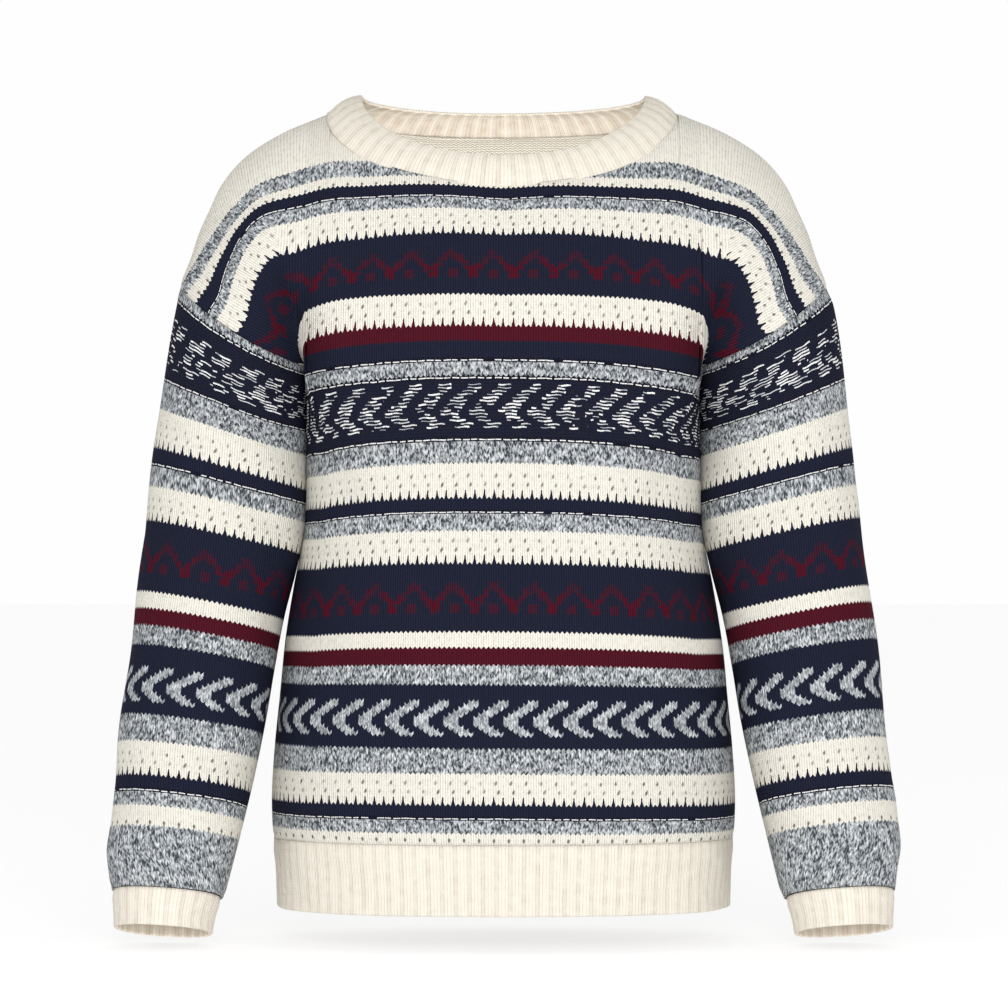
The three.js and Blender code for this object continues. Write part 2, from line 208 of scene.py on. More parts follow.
# %% [markdown]
# A whole panel is one grid. Its columns are the wales of the knitting, which stay parallel from
# the hem up, and its rows are the courses. Below the armpits each row is spaced along its oval
# in the same shares as at armpit level, so a wale never jumps. The columns crowd together at the
# corner of the neck and at the armpit, where the cloth bends most.

# %% Columns and rows of half a panel
NECK_CORNER_X = NECK_HALF_WIDTH - np.array([12.8, 10.6, 8.6, 6.8, 5.2, 3.8, 2.6, 1.6, 0.8, 0.3, 0])
CHEST_X = np.r_[np.linspace(0, 112, 42), NECK_CORNER_X, 129, 131, np.linspace(133.5, 143, 5)]
FAN_ANGLES = 90 - (90 - DROP_SEAM_ANGLE) * np.linspace(0, 1, 46)[1:] ** 1.5
FOLD_COLUMN = len(CHEST_X) + int(np.argmin(np.abs(FAN_ANGLES - FOLD_ANGLE)))
LOW_HEIGHTS = np.linspace(HEM_SEAM_Z, ARMPIT_Z, 138)[:-1]
HIGH_SHARES = np.linspace(0, 1, 88)
ARMPIT_ROW = len(LOW_HEIGHTS)
print("columns:", len(CHEST_X), "+", len(FAN_ANGLES), "rows:", ARMPIT_ROW, "+", len(HIGH_SHARES))

# %% The grid of half a panel
def arc_lengths(points):
    """Distance along a line of points from its first one."""
    return np.r_[0, np.cumsum(np.linalg.norm(np.diff(points, axis=0), axis=1))]


def spaced(points, shares):
    """Points at the wanted shares of a line's length."""
    along = arc_lengths(points)
    return np.stack([np.interp(shares * along[-1], along, c) for c in points.T], -1)


def quarter_ring(z, side):
    """A quarter of an oval: x = w sin^(2/n), y = d cos^(2/n), for turns from 0 to 90 degrees."""
    width, depth, square = (curve(BODY["z"], BODY[k], z) for k in ("half_width", side, "square"))
    turn = np.radians(np.linspace(0, 90, 361))
    x = width * np.sin(turn) ** (2 / square)
    y = depth * np.clip(np.cos(turn), 0, 1) ** (2 / square)
    return np.stack([x, WAY[side] * y, np.full_like(x, z)], -1)


def half_above(side, shares, folded):
    """Rows above armpit level: chest columns, then the fan over the shoulder."""
    chest = body_column(CHEST_X[None, :], side, shares[:, None], folded)
    fan = shoulder_column(FAN_ANGLES[None, :], side, shares[:, None], folded)
    return np.concatenate([chest, fan], axis=1)


def half_below(side, heights, foot):
    """Rows below armpit level, which turn into the foot of the upper part over the last 60 mm."""
    along = arc_lengths(half_above(side, np.array([0.0]), False)[0])
    rings = np.stack([spaced(quarter_ring(z, side), along / along[-1]) for z in heights])
    level = np.repeat(foot[None], len(heights), 0)
    level[..., 2] = heights[:, None]
    part = smooth((heights - ARMPIT_Z + 60) / 60)[:, None, None]
    return rings * (1 - part) + level * part


def half_panel(side, folded):
    """A whole half panel, with or without the armpit's fold."""
    above = half_above(side, HIGH_SHARES, folded)
    return np.concatenate([half_below(side, LOW_HEIGHTS, above[0]), above])


print("half panel grid:", half_panel("front", True).shape[:2])

# %% [markdown]
# ## The stripes as a knitter counts them
# A knitter's chart is a list of stripes from the bottom up, each with its yarn, its stitch
# pattern and its number of rows. The height that each stripe has on the real cloth stands beside
# it, because lace and purl rows are looser than plain ones. Both together turn a height on the
# cloth into a row number, and from there on every pattern is a matter of whole rows and
# stitches, as in real knitting.

# %% The stripe charts, from the hem and from the cuff upwards
BODY_CHART = [  # yarn, stitch pattern, rows, height in mm
    ("cream", "eyelet row", 3, 7.8), ("marl", "plain", 5, 10.3), ("dash", "plain", 1, 1.8),
    ("navy", "plain", 4, 8.5), ("cream", "lace", 10, 22.1), ("marl", "plain", 8, 17.8),
    ("navy", "arrows", 20, 45.8), ("marl", "plain", 6, 13.9), ("burgundy", "plain", 6, 12.5),
    ("cream", "plain", 5, 11.2), ("navy", "zigzag", 22, 48.9), ("cream", "lace", 10, 23.1),
    ("marl", "plain", 6, 13.2), ("dash", "plain", 1, 1.6), ("navy", "plain", 4, 8.7),
    ("cream", "lace", 10, 22.5), ("cream", "plain", 1, 2.1), ("marl", "purl", 7, 16.4),
    ("dash", "purl", 1, 2.2), ("navy", "purl arrows", 18, 41.9), ("dash", "purl", 1, 2.1),
    ("marl", "purl", 5, 10.7), ("dash", "purl", 1, 2.1), ("navy", "plain", 5, 12.8),
    ("burgundy", "plain", 5, 11.4), ("cream", "lace", 10, 23.5), ("navy", "zigzag", 22, 48.0),
    ("cream", "lace", 10, 23.2), ("marl", "plain", 5, 11.0), ("dash", "plain", 1, 2.2),
    ("navy", "plain", 4, 8.4), ("cream", "eyelet row", 4, 8.0), ("marl", "plain", 6, 14.3),
    ("cream", "plain", 30, 69.0),
]
SLEEVE_CHART = [
    ("marl", "plain", 19, 45.0), ("cream", "eyelet row", 6, 14.7), ("marl", "plain", 5, 10.5),
    ("dash", "plain", 1, 2.0), ("navy", "plain", 4, 9.4), ("cream", "lace", 11, 24.5),
    ("marl", "plain", 8, 19.2), ("navy", "arrows", 22, 50.4), ("marl", "plain", 6, 13.7),
    ("burgundy", "plain", 5, 12.4), ("cream", "plain", 5, 11.9), ("navy", "zigzag", 22, 50.6),
    ("cream", "lace", 11, 23.0), ("marl", "plain", 5, 14.4), ("dash", "plain", 1, 2.0),
    ("navy", "plain", 4, 9.5), ("cream", "lace", 11, 25.0), ("cream", "plain", 1, 2.1),
    ("marl", "purl", 9, 19.8), ("dash", "purl", 1, 2.2), ("navy", "purl arrows", 21, 47.5),
    ("dash", "purl", 1, 2.2), ("marl", "purl", 3, 7.0),
]
STITCH, ROW = 3.68, 2.3  # width and height of a plain stitch
BODY_STITCHES, SLEEVE_LENGTH = 65, 419.0  # from the middle to the side, and along the sleeve


def row_number(chart, height):
    """Rows up to a height in mm: straight between the edges of the stripes, and plain rows
    below the first of them."""
    edges = np.r_[0, np.cumsum([stripe[3] for stripe in chart])]
    rows = np.r_[0, np.cumsum([stripe[2] for stripe in chart])]
    return np.interp(height, edges, rows) + np.minimum(height, 0) / ROW


for name, chart in (("body", BODY_CHART), ("sleeve", SLEEVE_CHART)):
    print(name, "rows:", sum(s[2] for s in chart), "mm:", round(sum(s[3] for s in chart), 1))

# %% [markdown]
# The stripes don't lie level all over the body. They droop a little towards the sides, and over
# the shoulder they bend into arches that meet the sleeve's seam squarely, because the cloth
# there was knitted straight and only folds over the shoulder. One table gives the droop. The
# other says how far below the shoulder line five lines of the knitting lie, column by column.

# %% Droop and arches of the stripes
DROOP = dict(
    z=[-545, -532, -475, -438, -410, -348, -311, -256, -201],
    mm=[0, 1, 1, 1.5, 4, 5, 7, 9, 10],
)
ARCHES = dict(  # place: 0 centre front, 1 above the armpit, 2 drop seam
    place=[0, 0.53, 0.70, 0.89, 1.0, 1.1, 1.22, 1.34, 1.58, 2.0],
    yoke_marl=[104, 99, 93.5, 85.5, 81.5, 80.5, 80, 79, 62, 25],
    thin_navy=[127, 119, 114, 107, 102.5, 99.5, 98, 95, 82, 64],
    zigzag_top=[160, 155, 151.5, 146, 141.5, 139.5, 136.5, 133, 118, 95],
    zigzag_middle=[184, 179, 175.5, 170, 165.5, 163.5, 161, 157, 144, 120],
    zigzag_foot=[205.5, 200.5, 196, 190.5, 187, 189, 196, 199, 190, 160],
)
ARCH_HEIGHTS = dict(
    yoke_marl=504.7, thin_navy=483.5, zigzag_top=443.0, zigzag_middle=418.0, zigzag_foot=395.0
)
PLACES = np.r_[CHEST_X / ARMPIT_X, 1 + (90 - FAN_ANGLES) / (90 - DROP_SEAM_ANGLE)]
SIDE_DROOP = np.where(PLACES < 1, PLACES**2.5, 1 + 0.9 * (PLACES - 1))
print("arches:", ", ".join(ARCH_HEIGHTS), "at", len(PLACES), "columns")

# %% [markdown]
# With the two tables the height on the flat cloth is known at every grid point. It is found on
# the panel without the armpit's fold, because the cloth in the fold isn't any longer or shorter.

# %% Where the stripes run on a panel
def below_shoulder(flat_half):
    """Distance of each upper grid point below the shoulder line, along its column. Where the
    neck cuts a column short, the missing arc of its ellipse is added."""
    steps = np.linalg.norm(np.diff(flat_half[ARMPIT_ROW:], axis=0), axis=2)
    left = np.cumsum(steps[::-1], axis=0)[::-1]
    left = np.concatenate([left, np.zeros((1, left.shape[1]))])
    top = flat_half[-1, : len(CHEST_X)]
    height = shoulder_top(CHEST_X) - ARMPIT_Z
    first = np.arcsin(np.clip((top[:, 2] - ARMPIT_Z) / height, -1, 1))
    depth = np.abs(flat_half[ARMPIT_ROW, : len(CHEST_X), 1] - RIDGE_Y)
    turn = first + (np.pi / 2 - first) * np.linspace(0, 1, 60)[:, None]
    oval = np.stack([depth * np.cos(turn), height * np.sin(turn)], -1)
    left[:, : len(CHEST_X)] += np.linalg.norm(np.diff(oval, axis=0), axis=2).sum(0)
    return left


def cloth_heights(flat_half):
    """Height of every grid point on the flat cloth, in mm above the hem seam. Below the armpits
    it is the height in space plus the droop. Above, it runs between the arches of each column by
    the distance below the shoulder line; beyond the fold it stays on the zigzag's first row."""
    low = flat_half[:ARMPIT_ROW, :, 2]
    droop = curve(DROOP["z"], DROOP["mm"], low)
    below = low - HEM_SEAM_Z + droop * SIDE_DROOP
    left = below_shoulder(flat_half)
    above = np.empty_like(left)
    arch_heights = list(ARCH_HEIGHTS.values())
    foot = ARMPIT_Z - HEM_SEAM_Z + DROOP["mm"][-1] * SIDE_DROOP
    foot = foot + (arch_heights[-1] + 0.8 - foot) * smooth((PLACES - 1.1) / 0.15)
    for j, place in enumerate(PLACES):
        depths = [float(curve(ARCHES["place"], ARCHES[k], place)) for k in ARCH_HEIGHTS]
        known = [0, *depths, max(left[0, j], depths[-1] + 2)]
        reached = [arch_heights[0] + depths[0], *arch_heights, foot[j]]
        above[:, j] = np.interp(left[:, j], known, reached)
    return np.concatenate([below, above])


for side in ("front", "back"):
    left = below_shoulder(half_panel(side, False))[0]
    print(side, "armpit level to shoulder, mm:", left[[0, len(CHEST_X) - 1, -30, -15, -1]].round())

# %% [markdown]
# The stitch number across the cloth is simple below the armpits: the same share of the width at
# every height. Over the shoulder a stitch is counted by how far it lies from the armpit's own
# column. The cloth that vanishes into the armpit's fold is skipped there, so the pattern breaks
# at the fold, as it does on the real sweater.

# %% Stitch numbers across a panel
TRUE_REACH = 127  # from the armpit, where the fan's stitches have their true width


def stitch_numbers(flat_half):
    """Three readings of the stitch number for the grid points: below armpit level, above it
    before the fold, and above it beyond the fold. In the fan it grows by reach times angle."""
    foot_arc = arc_lengths(flat_half[ARMPIT_ROW])
    low = BODY_STITCHES * foot_arc / foot_arc[-1]
    at_armpit = low[len(CHEST_X) - 1]
    angle = np.r_[np.full(len(CHEST_X), 90.0), FAN_ANGLES]
    out = np.hypot(flat_half[..., 0] - ARMPIT_X, flat_half[..., 2] - ARMPIT_Z)
    held = np.minimum(out, TRUE_REACH)
    fanned = at_armpit + held * np.radians(90 - angle) / STITCH
    fanned[:, : len(CHEST_X)] = low[: len(CHEST_X)]
    skipped = (TRUE_REACH - held) * np.radians(90 - DROP_SEAM_ANGLE) / STITCH
    return np.broadcast_to(low, fanned.shape), fanned, fanned + skipped


beyond = stitch_numbers(half_panel("front", False))[2]
print("stitches to the side:", BODY_STITCHES, "to the drop seam:", round(float(beyond[-1, -1])))

# %% [markdown]
# ## Folds and unevenness
# A filled-out sweater hangs almost smooth, with a few soft creases where the cloth has to bend:
# beside the armpits, at the inner elbows and above the ribs. Each one is listed as a trough or a
# ridge along a slightly bent line. Slow waves over the whole cloth keep its outline from looking
# machined.

# %% Creases listed one by one
def crease(across, up, start, end, bow, width, depth):
    """A soft trough (depth below 0) or ridge along a line from start to end, bowed sideways by
    bow. Its section is exp(-(d/width)^2), and it fades in and out as sin^0.7 of its length."""
    start, end = np.array(start, float), np.array(end, float)
    along = end - start
    length = np.hypot(*along)
    unit = along / length
    du, dv = across - start[0], up - start[1]
    t = (du * unit[0] + dv * unit[1]) / length
    apart = dv * unit[0] - du * unit[1] - bow * np.sin(np.pi * np.clip(t, 0, 1))
    fade = np.sin(np.pi * np.clip(t, 0, 1)) ** 0.7
    return depth * fade * np.exp(-((apart / width) ** 2))


def waves(across, up, seed, size):
    """Slow unevenness: a sum of six sines of 70 to 240 mm, with random heading and phase."""
    rng = np.random.default_rng(seed)
    total = 0.0
    for _ in range(6):
        heading, length, phase = rng.uniform(0, np.pi), rng.uniform(70, 240), rng.uniform(0, 6.28)
        course = across * np.cos(heading) + up * np.sin(heading)
        total = total + np.sin(2 * np.pi * course / length + phase)
    return size * total / 3


sample = waves(np.zeros(5), np.arange(5) * 40.0, 1, 1.0)
print("waves along a line, mm:", sample.round(2))

# %% [markdown]
# ## Cloth from a grid
# A shell is the grid of the outer side, a second grid one wall further in, and a rim between
# them, which looks like the outer side. It carries two maps. The first counts stitches and rows,
# and every pattern reads it. The second spreads the two sides flat beside each other, for anyone
# who paints or bakes the piece.

# %% Normals and cells of a grid
def grid_normals(points, around):
    """Outward direction at each grid point: the cross product of the step along its row and the
    step up its column."""
    if around:
        step_across = np.roll(points, -1, axis=1) - np.roll(points, 1, axis=1)
    else:
        step_across = np.gradient(points, axis=1)
    normal = np.cross(step_across, np.gradient(points, axis=0))
    length = np.linalg.norm(normal, axis=2, keepdims=True)
    return normal / np.maximum(length, 1e-9)


def quads(rows, columns, around):
    """Corner indices of the cells of a grid, as (cell, corner, row or column)."""
    last = columns if around else columns - 1
    i, j = np.meshgrid(np.arange(rows - 1), np.arange(last), indexing="ij")
    i, j = i.ravel(), j.ravel()
    corners = ((0, 0), (0, 1), (1, 1), (1, 0))
    return np.stack([np.stack([i + di, j + dj], -1) for di, dj in corners], 1)


print("cells of a 3 by 4 grid:", len(quads(3, 4, False)), "as a ring:", len(quads(3, 4, True)))

# %% [markdown]
# Blender takes a mesh as plain arrays, which is far quicker than adding faces one by one.

# %% Write a mesh
def cloth_piece(name, points, faces, kinds, maps, materials):
    """A smooth object from points in mm, four-cornered faces, the number of each face's material
    and the values of each map at the faces' corners."""
    mesh = bpy.data.meshes.new(name)
    mesh.vertices.add(len(points))
    mesh.vertices.foreach_set("co", (points * MM).astype(np.float32).ravel())
    mesh.loops.add(faces.size)
    mesh.loops.foreach_set("vertex_index", faces.ravel().astype(np.int32))
    mesh.polygons.add(len(faces))
    mesh.polygons.foreach_set("loop_start", np.arange(0, faces.size, 4, dtype=np.int32))
    mesh.polygons.foreach_set("material_index", kinds.astype(np.int32))
    mesh.update(calc_edges=True)
    for layer, values in maps.items():
        uv = mesh.uv_layers.new(name=layer)
        uv.uv.foreach_set("vector", np.concatenate(values).astype(np.float32).ravel())
    mesh.shade_smooth()
    mesh.validate()
    piece = bpy.data.objects.new(name, mesh)
    bpy.context.scene.collection.objects.link(piece)
    for material in materials:
        mesh.materials.append(material)
    print(f"{name}: {len(faces) * 2} triangles")
    return piece


print("meshes before the first piece:", len(bpy.data.meshes))

# %% [markdown]
# All faces of a shell are made as whole arrays: the cells of the outer side, the same cells
# turned over for the inner side, and one strip of faces along each open edge.

# %% Build a shell
def shell(name, outer, inner, stitches, materials, around=False):
    """A closed cloth shell. stitches gives (stitch, row) for each corner of each cell, or for
    each point. The outer side and the rim take the first material, the inner side the second."""
    rows, columns = outer.shape[:2]
    cells = quads(rows, columns, around)
    i, j = cells[..., 0], cells[..., 1]
    ids = i * columns + j % columns
    count = rows * columns
    if stitches.shape[:2] == (rows, columns):
        past_end = 2 * stitches[:, -1:] - stitches[:, -2:-1]
        stitches = np.concatenate([stitches, past_end], axis=1)[i, j]
    across = j / (columns if around else columns - 1)
    flat = np.stack([0.008 + 0.484 * across, 0.01 + 0.98 * i / (rows - 1)], -1)
    faces = [ids, (ids + count)[:, ::-1]]
    knits = [stitches, stitches[:, ::-1]]
    flats = [flat, (flat + [0.5, 0])[:, ::-1]]
    edges = [(i[:, 0] == 0, 0, 1, [0, -0.007]), (i[:, 2] == rows - 1, 2, 3, [0, 0.007])]
    if not around:
        edges += [(j[:, 0] == 0, 3, 0, [-0.005, 0]), (j[:, 1] == columns - 1, 1, 2, [0.005, 0])]
    for chosen, a, b, away in edges:
        pair, knit, spot = (values[chosen][:, [a, b]] for values in (ids, stitches, flat))
        faces.append(np.stack([pair[:, 1], pair[:, 0], pair[:, 0] + count, pair[:, 1] + count], 1))
        knits.append(knit[:, [1, 0, 0, 1]])
        flats.append(spot[:, [1, 0, 0, 1]] + np.array([[0, 0], [0, 0], away, away]))
    kinds = np.concatenate([np.full(len(f), n == 1) for n, f in enumerate(faces)])
    points = np.concatenate([outer.reshape(-1, 3), inner.reshape(-1, 3)])
    maps = dict(knit=knits, OFBake=flats)
    return cloth_piece(name, points, np.concatenate(faces), kinds, maps, materials)


print("maps of a shell: knit for stitches and rows, OFBake for the flat layout")

# %% [markdown]
# ## Yarn and stitches as node groups
# Every pattern of the knitting is arithmetic on the stitch number and the row number. Chains of
# Math nodes are tedious to place by hand, so a small class lets ordinary formulas on wires add
# them. Each effect that several materials share is a node group, built once: the stitch itself,
# the marled yarn, the lace, and the motifs.

# %% Formulas that become nodes
from functools import partialmethod
from types import SimpleNamespace


class Wire:
    """A number in a node tree. Arithmetic with it adds a Math node and gives the next wire."""

    def __init__(self, tree, socket):
        self.tree, self.socket = tree, socket

    def join(self, operation, *others):
        return math_node(self.tree, operation, self, *others)

    def __rsub__(self, first):
        return math_node(self.tree, "SUBTRACT", first, self)

    def clamped(self):
        """Held between 0 and 1."""
        return self.join("MAXIMUM", 0.0).join("MINIMUM", 1.0)


FORMULAS = dict(
    add="ADD", sub="SUBTRACT", mul="MULTIPLY", truediv="DIVIDE", mod="FLOORED_MODULO",
    lt="LESS_THAN", gt="GREATER_THAN", pow="POWER", abs="ABSOLUTE",
)
for sign, operation in FORMULAS.items():
    setattr(Wire, f"__{sign}__", partialmethod(Wire.join, operation))
print("formulas that add nodes:", ", ".join(FORMULAS))

# %% Helpers that add nodes
def connect(tree, value, slot):
    """Puts a wire, a socket or a plain number on an input."""
    value = value.socket if isinstance(value, Wire) else value
    if isinstance(value, bpy.types.NodeSocket):
        tree.links.new(value, slot)
    else:
        slot.default_value = value


def math_node(tree, operation, *values):
    """A Math node with these values on its inputs, as a wire."""
    made = tree.nodes.new("ShaderNodeMath")
    made.operation = operation
    for slot, value in zip(made.inputs, values):
        connect(tree, value, slot)
    return Wire(tree, made.outputs[0])


def node(tree, kind, values=(), **settings):
    """Adds a node, with its settings and its inputs by name or number."""
    made = tree.nodes.new("ShaderNode" + kind)
    for key, value in settings.items():
        setattr(made, key, value)
    for key, value in dict(values).items():
        connect(tree, value, made.inputs[key])
    return made


def wire(tree, kind, values=(), **settings):
    """Adds a node in the same way and gives its first output as a wire."""
    return Wire(tree, node(tree, kind, values, **settings).outputs[0])


print("helpers:", ", ".join(helper.__name__ for helper in (connect, math_node, node, wire)))

# %% [markdown]
# A node group has named sockets. Groups that read the same numbers of a stitch are placed by
# handing over all those numbers at once: each group takes the ones it has a socket for.

# %% Node groups
def group(name, inputs, outputs, build):
    """A node group: build gets its tree and the input wires by name, and returns the outputs.
    All sockets are plain numbers, but for spot, a place on the map, and colour."""
    tree = bpy.data.node_groups.new(name, "ShaderNodeTree")
    kinds = dict(spot="NodeSocketVector", colour="NodeSocketColor")
    for side, titles in (("INPUT", inputs), ("OUTPUT", outputs)):
        for title in titles.split():
            kind = kinds.get(title, "NodeSocketFloat")
            tree.interface.new_socket(title, in_out=side, socket_type=kind)
    entry, leave = tree.nodes.new("NodeGroupInput"), tree.nodes.new("NodeGroupOutput")
    results = build(tree, **{t: Wire(tree, entry.outputs[t]) for t in inputs.split()})
    for title in outputs.split():
        connect(tree, results[title], leave.inputs[title])
    print(f"group {name}: {len(tree.nodes)} nodes")
    return tree


def use(tree, group_tree, shared=None, **values):
    """Places a group and gives its outputs as wires. An input that values doesn't name takes
    the wire of the same name in shared."""
    made = tree.nodes.new("ShaderNodeGroup")
    made.node_tree = group_tree
    given = {**(vars(shared) if shared else {}), **values}
    for title, value in given.items():
        if title in made.inputs:
            connect(tree, value, made.inputs[title])
    return SimpleNamespace(**{s.name: Wire(tree, s) for s in made.outputs})


print("groups so far:", len(bpy.data.node_groups))

# %% [markdown]
# Real yarn is never even. White noise gives each stitch its own random number, and soft noise
# changes slowly from place to place. Colours are those of the yarns in daylight.

# %% Chance and colours
def chance_at(tree, first, second=None):
    """A random number from 0 to 1, always the same one for the same place."""
    if second is None:
        return wire(tree, "TexWhiteNoise", {"W": first}, noise_dimensions="1D")
    spot = wire(tree, "CombineXYZ", {0: first, 1: second})
    return wire(tree, "TexWhiteNoise", {"Vector": spot}, noise_dimensions="2D")


def soft_noise(tree, detail, *places):
    """Smooth noise from 0 to 1 that changes over a length of about 1 in each place."""
    spot = wire(tree, "CombineXYZ", dict(enumerate(places)))
    return wire(tree, "TexNoise", {"Vector": spot, "Scale": 1.0, "Detail": detail})


def blend(tree, factor, a, b):
    """Colour a turned into colour b by a factor."""
    made = node(tree, "Mix", {0: factor}, data_type="RGBA")
    connect(tree, a, made.inputs[6])
    connect(tree, b, made.inputs[7])
    return made.outputs[2]


def colour(red, green, blue):
    """A linear colour from the usual 0 to 255 values s of a swatch, as a share of 255:
    ((s + 0.055) / 1.055)^2.4, or s / 12.92 where it is very dark."""
    s = np.array([red, green, blue]) / 255
    return (*np.where(s <= 0.04045, s / 12.92, ((s + 0.055) / 1.055) ** 2.4), 1.0)


YARNS = dict(
    cream=colour(226, 222, 211), navy=colour(31, 35, 53), burgundy=colour(80, 20, 35),
    marl=colour(166, 168, 172), dash=colour(24, 26, 42),
)
MARL_PLIES = colour(62, 70, 80), colour(222, 225, 226)
print("yarns:", ", ".join(YARNS))

# %% [markdown]
# A plain knitted stitch shows two short legs that meet in a V. The legs lean, so the border
# between two rows isn't straight: it dips at the middle of each stitch. The row number is
# therefore counted from a height that is lowered beside the middle, and a colour that follows
# the row number gets the small points that real stripes have.

# %% The stitch
LEAN = 1.6  # rows that a leg drops over the width of a stitch


def stitch_nodes(tree, spot):
    """row = floor(v - 1.6 |s|), with s the place across the stitch from -0.5 to 0.5. A leg is
    as high as a root of the sine across it, times a shallow arch along it. A purl bump is a sine
    along the height, on a line that waves across each stitch."""
    parts = node(tree, "SeparateXYZ", {0: spot})
    across, up = Wire(tree, parts.outputs[0]), Wire(tree, parts.outputs[1])
    column = across.join("FLOOR")
    place = across - column - 0.5
    leaning = up - abs(place) * LEAN
    row = leaning.join("FLOOR")
    leg = (abs(place) * 6.283).join("SINE").join("MAXIMUM", 0.0) ** 0.6
    arch = ((leaning - row) * 3.1416).join("SINE") ** 0.5
    knit = leg * (arch * 0.55 + 0.45)
    wavy = up + (across * 6.283).join("COSINE") * 0.22
    bump_row = (wavy * 6.283).join("SINE") * 0.5 + 0.5
    purl = bump_row * ((across * 12.566).join("SINE") * 0.2 + 0.8)
    return dict(
        across=across, up=up, column=column, row=row, place=place, knit=knit, purl=purl,
        chance=chance_at(tree, column, row),
    )


STITCHES = group("stitches", "spot", "across up column row place knit purl chance", stitch_nodes)

# %% [markdown]
# Marled yarn is a dark and a light ply twisted together, so its stitches look streaked and
# speckled. Noise that is stretched along the legs gives the streaks.

# %% The marled yarn
def marl_nodes(tree, column, row, place, across, up):
    """Fine streaks run along the legs of the stitches, each leg shows more of one ply by chance,
    and a slow cloudiness lies over both: 2.8 streaks + 0.4 chance + 0.9 cloud - 1.68."""
    leg = column * 2 + (place > 0.0)
    leaning = up - abs(place) * LEAN
    streaks = soft_noise(tree, 2.0, across * 2.6, leaning * 0.8, leg * 0.37)
    cloud = soft_noise(tree, 2.0, across * 0.5, up * 0.4)
    light = streaks * 2.8 + chance_at(tree, leg, row) * 0.4 + cloud * 0.9 - 1.68
    return dict(colour=blend(tree, light.clamped(), *MARL_PLIES))


MARL = group("marled yarn", "column row place across up", "colour", marl_nodes)

# %% [markdown]
# Lace is knitted by leaving a loop open beside each decrease. The holes stand in two rows, and
# the pull of the decreases draws the colour below up into the stripe as narrow points.

# %% The lace
def soft_oval(dx, dy, rim):
    """1 inside an oval and 0 outside, with a soft edge: rim - dx^2 - dy^2."""
    return (rim - (dx**2.0 + dy**2.0)).clamped()


def lace_nodes(tree, across, up, start):
    """Two rows of teardrop holes three stitches apart, the lower row a little to the right. At
    the foot of the stripe the colour below reaches up as a narrow point every two stitches:
    with r falling from 1 to 0 over 2.9 rows, it fills what lies beyond 0.87 - 0.36 r^2."""
    above = up - start
    drift = wire(
        tree, "TexNoise", {"W": across * 0.31 + above * 0.2, "Scale": 1.0}, noise_dimensions="1D"
    )
    wobble = drift - 0.5
    rows = []
    for shift, height in ((0.6, 4.6), (0.0, 7.4)):
        dy = above - height + wobble * 1.2
        dx = (across + wobble * 0.8 - dy * 0.16 - shift) % 3 - 1.5
        hole = soft_oval(dx / (0.28 - dy * 0.12), dy / 0.8, 1.25)
        which = ((across - shift) / 3).join("FLOOR")
        rows.append(hole * (chance_at(tree, which + height) * 0.5 + 0.5))
    reach = (above + wobble * 1.5) / -2.9 + 1.0
    beside = abs((across + wobble * 0.5) % 2 - 1.0)
    points = (beside > (0.87 - reach * reach * 0.36)) * (reach > 0.0)
    return dict(holes=rows[0].join("MAXIMUM", rows[1]), points=points)


LACE = group("lace", "across up start", "holes points", lace_nodes)

# %% [markdown]
# The motifs are drawn row by row, as on squared paper, by how far a stitch lies from the foot
# of its zigzag or from the tip of its arrowhead.

# %% The motifs
def zigzag_nodes(tree, column, row, start, chance):
    """A row of Vs every eight and a quarter stitches: row 7.6 + 1.7 times the stitches from the
    lowest point. Each V is solid at its foot and fades upwards into a faint arch, with a dot
    between the feet. Here and there a stitch of the ground shows through."""
    above = row - start
    from_foot = 4.125 - abs((column + 6.7) % 8.25 - 4.125)
    line = (from_foot * 1.7 + 7.6).join("MINIMUM", 14.0)
    stroke = (abs(above - line) < 1.5) * (1.1 - from_foot * 0.16)
    solid = (from_foot < 1.0) * (abs(above - 7.6) < 1.7)
    dot = (from_foot > 3.1) * (abs(above - 7.2) < 1.3)
    shown = (chance > 0.12) * 0.7 + 0.3
    mask = stroke.join("MAXIMUM", solid).join("MAXIMUM", dot * 0.6)
    return dict(mask=(mask * shown * 0.95).join("MINIMUM", 1.0))


def arrow_nodes(tree, column, row, start, tip, rise, slope, width):
    """Arrowheads that point back along the row, every six stitches: from the tip's row each arm
    moves on by slope stitches a row."""
    from_tip = row - start - tip
    away = abs(from_tip)
    stitch = (column - (away * slope).join("FLOOR")) % 6
    inside = (from_tip < (rise + 0.1)) * (from_tip > (rise * -0.7 - 0.1))
    return dict(mask=(stitch < (width - away * 0.17)) * inside)


ZIGZAG = group("zigzag", "column row start chance", "mask", zigzag_nodes)
ARROWS = group("arrows", "column row start tip rise slope width", "mask", arrow_nodes)

# %% [markdown]
# The chart of stripes becomes colour ramps with hard steps, one place for each row. A ramp holds
# at most 32 steps and 256 places, so a chart takes two: one for the lower 128 rows and one for
# the rest. One pair of ramps gives the yarn, and a second pair gives the stitch pattern, the
# stripe's first row and whether the yarn is marled.

# %% Charts as ramps
PATTERNS = ["plain", "purl", "lace", "eyelet row", "zigzag", "arrows", "purl arrows"]
SPECIAL = {"marl": 1.0, "dash": 0.5}


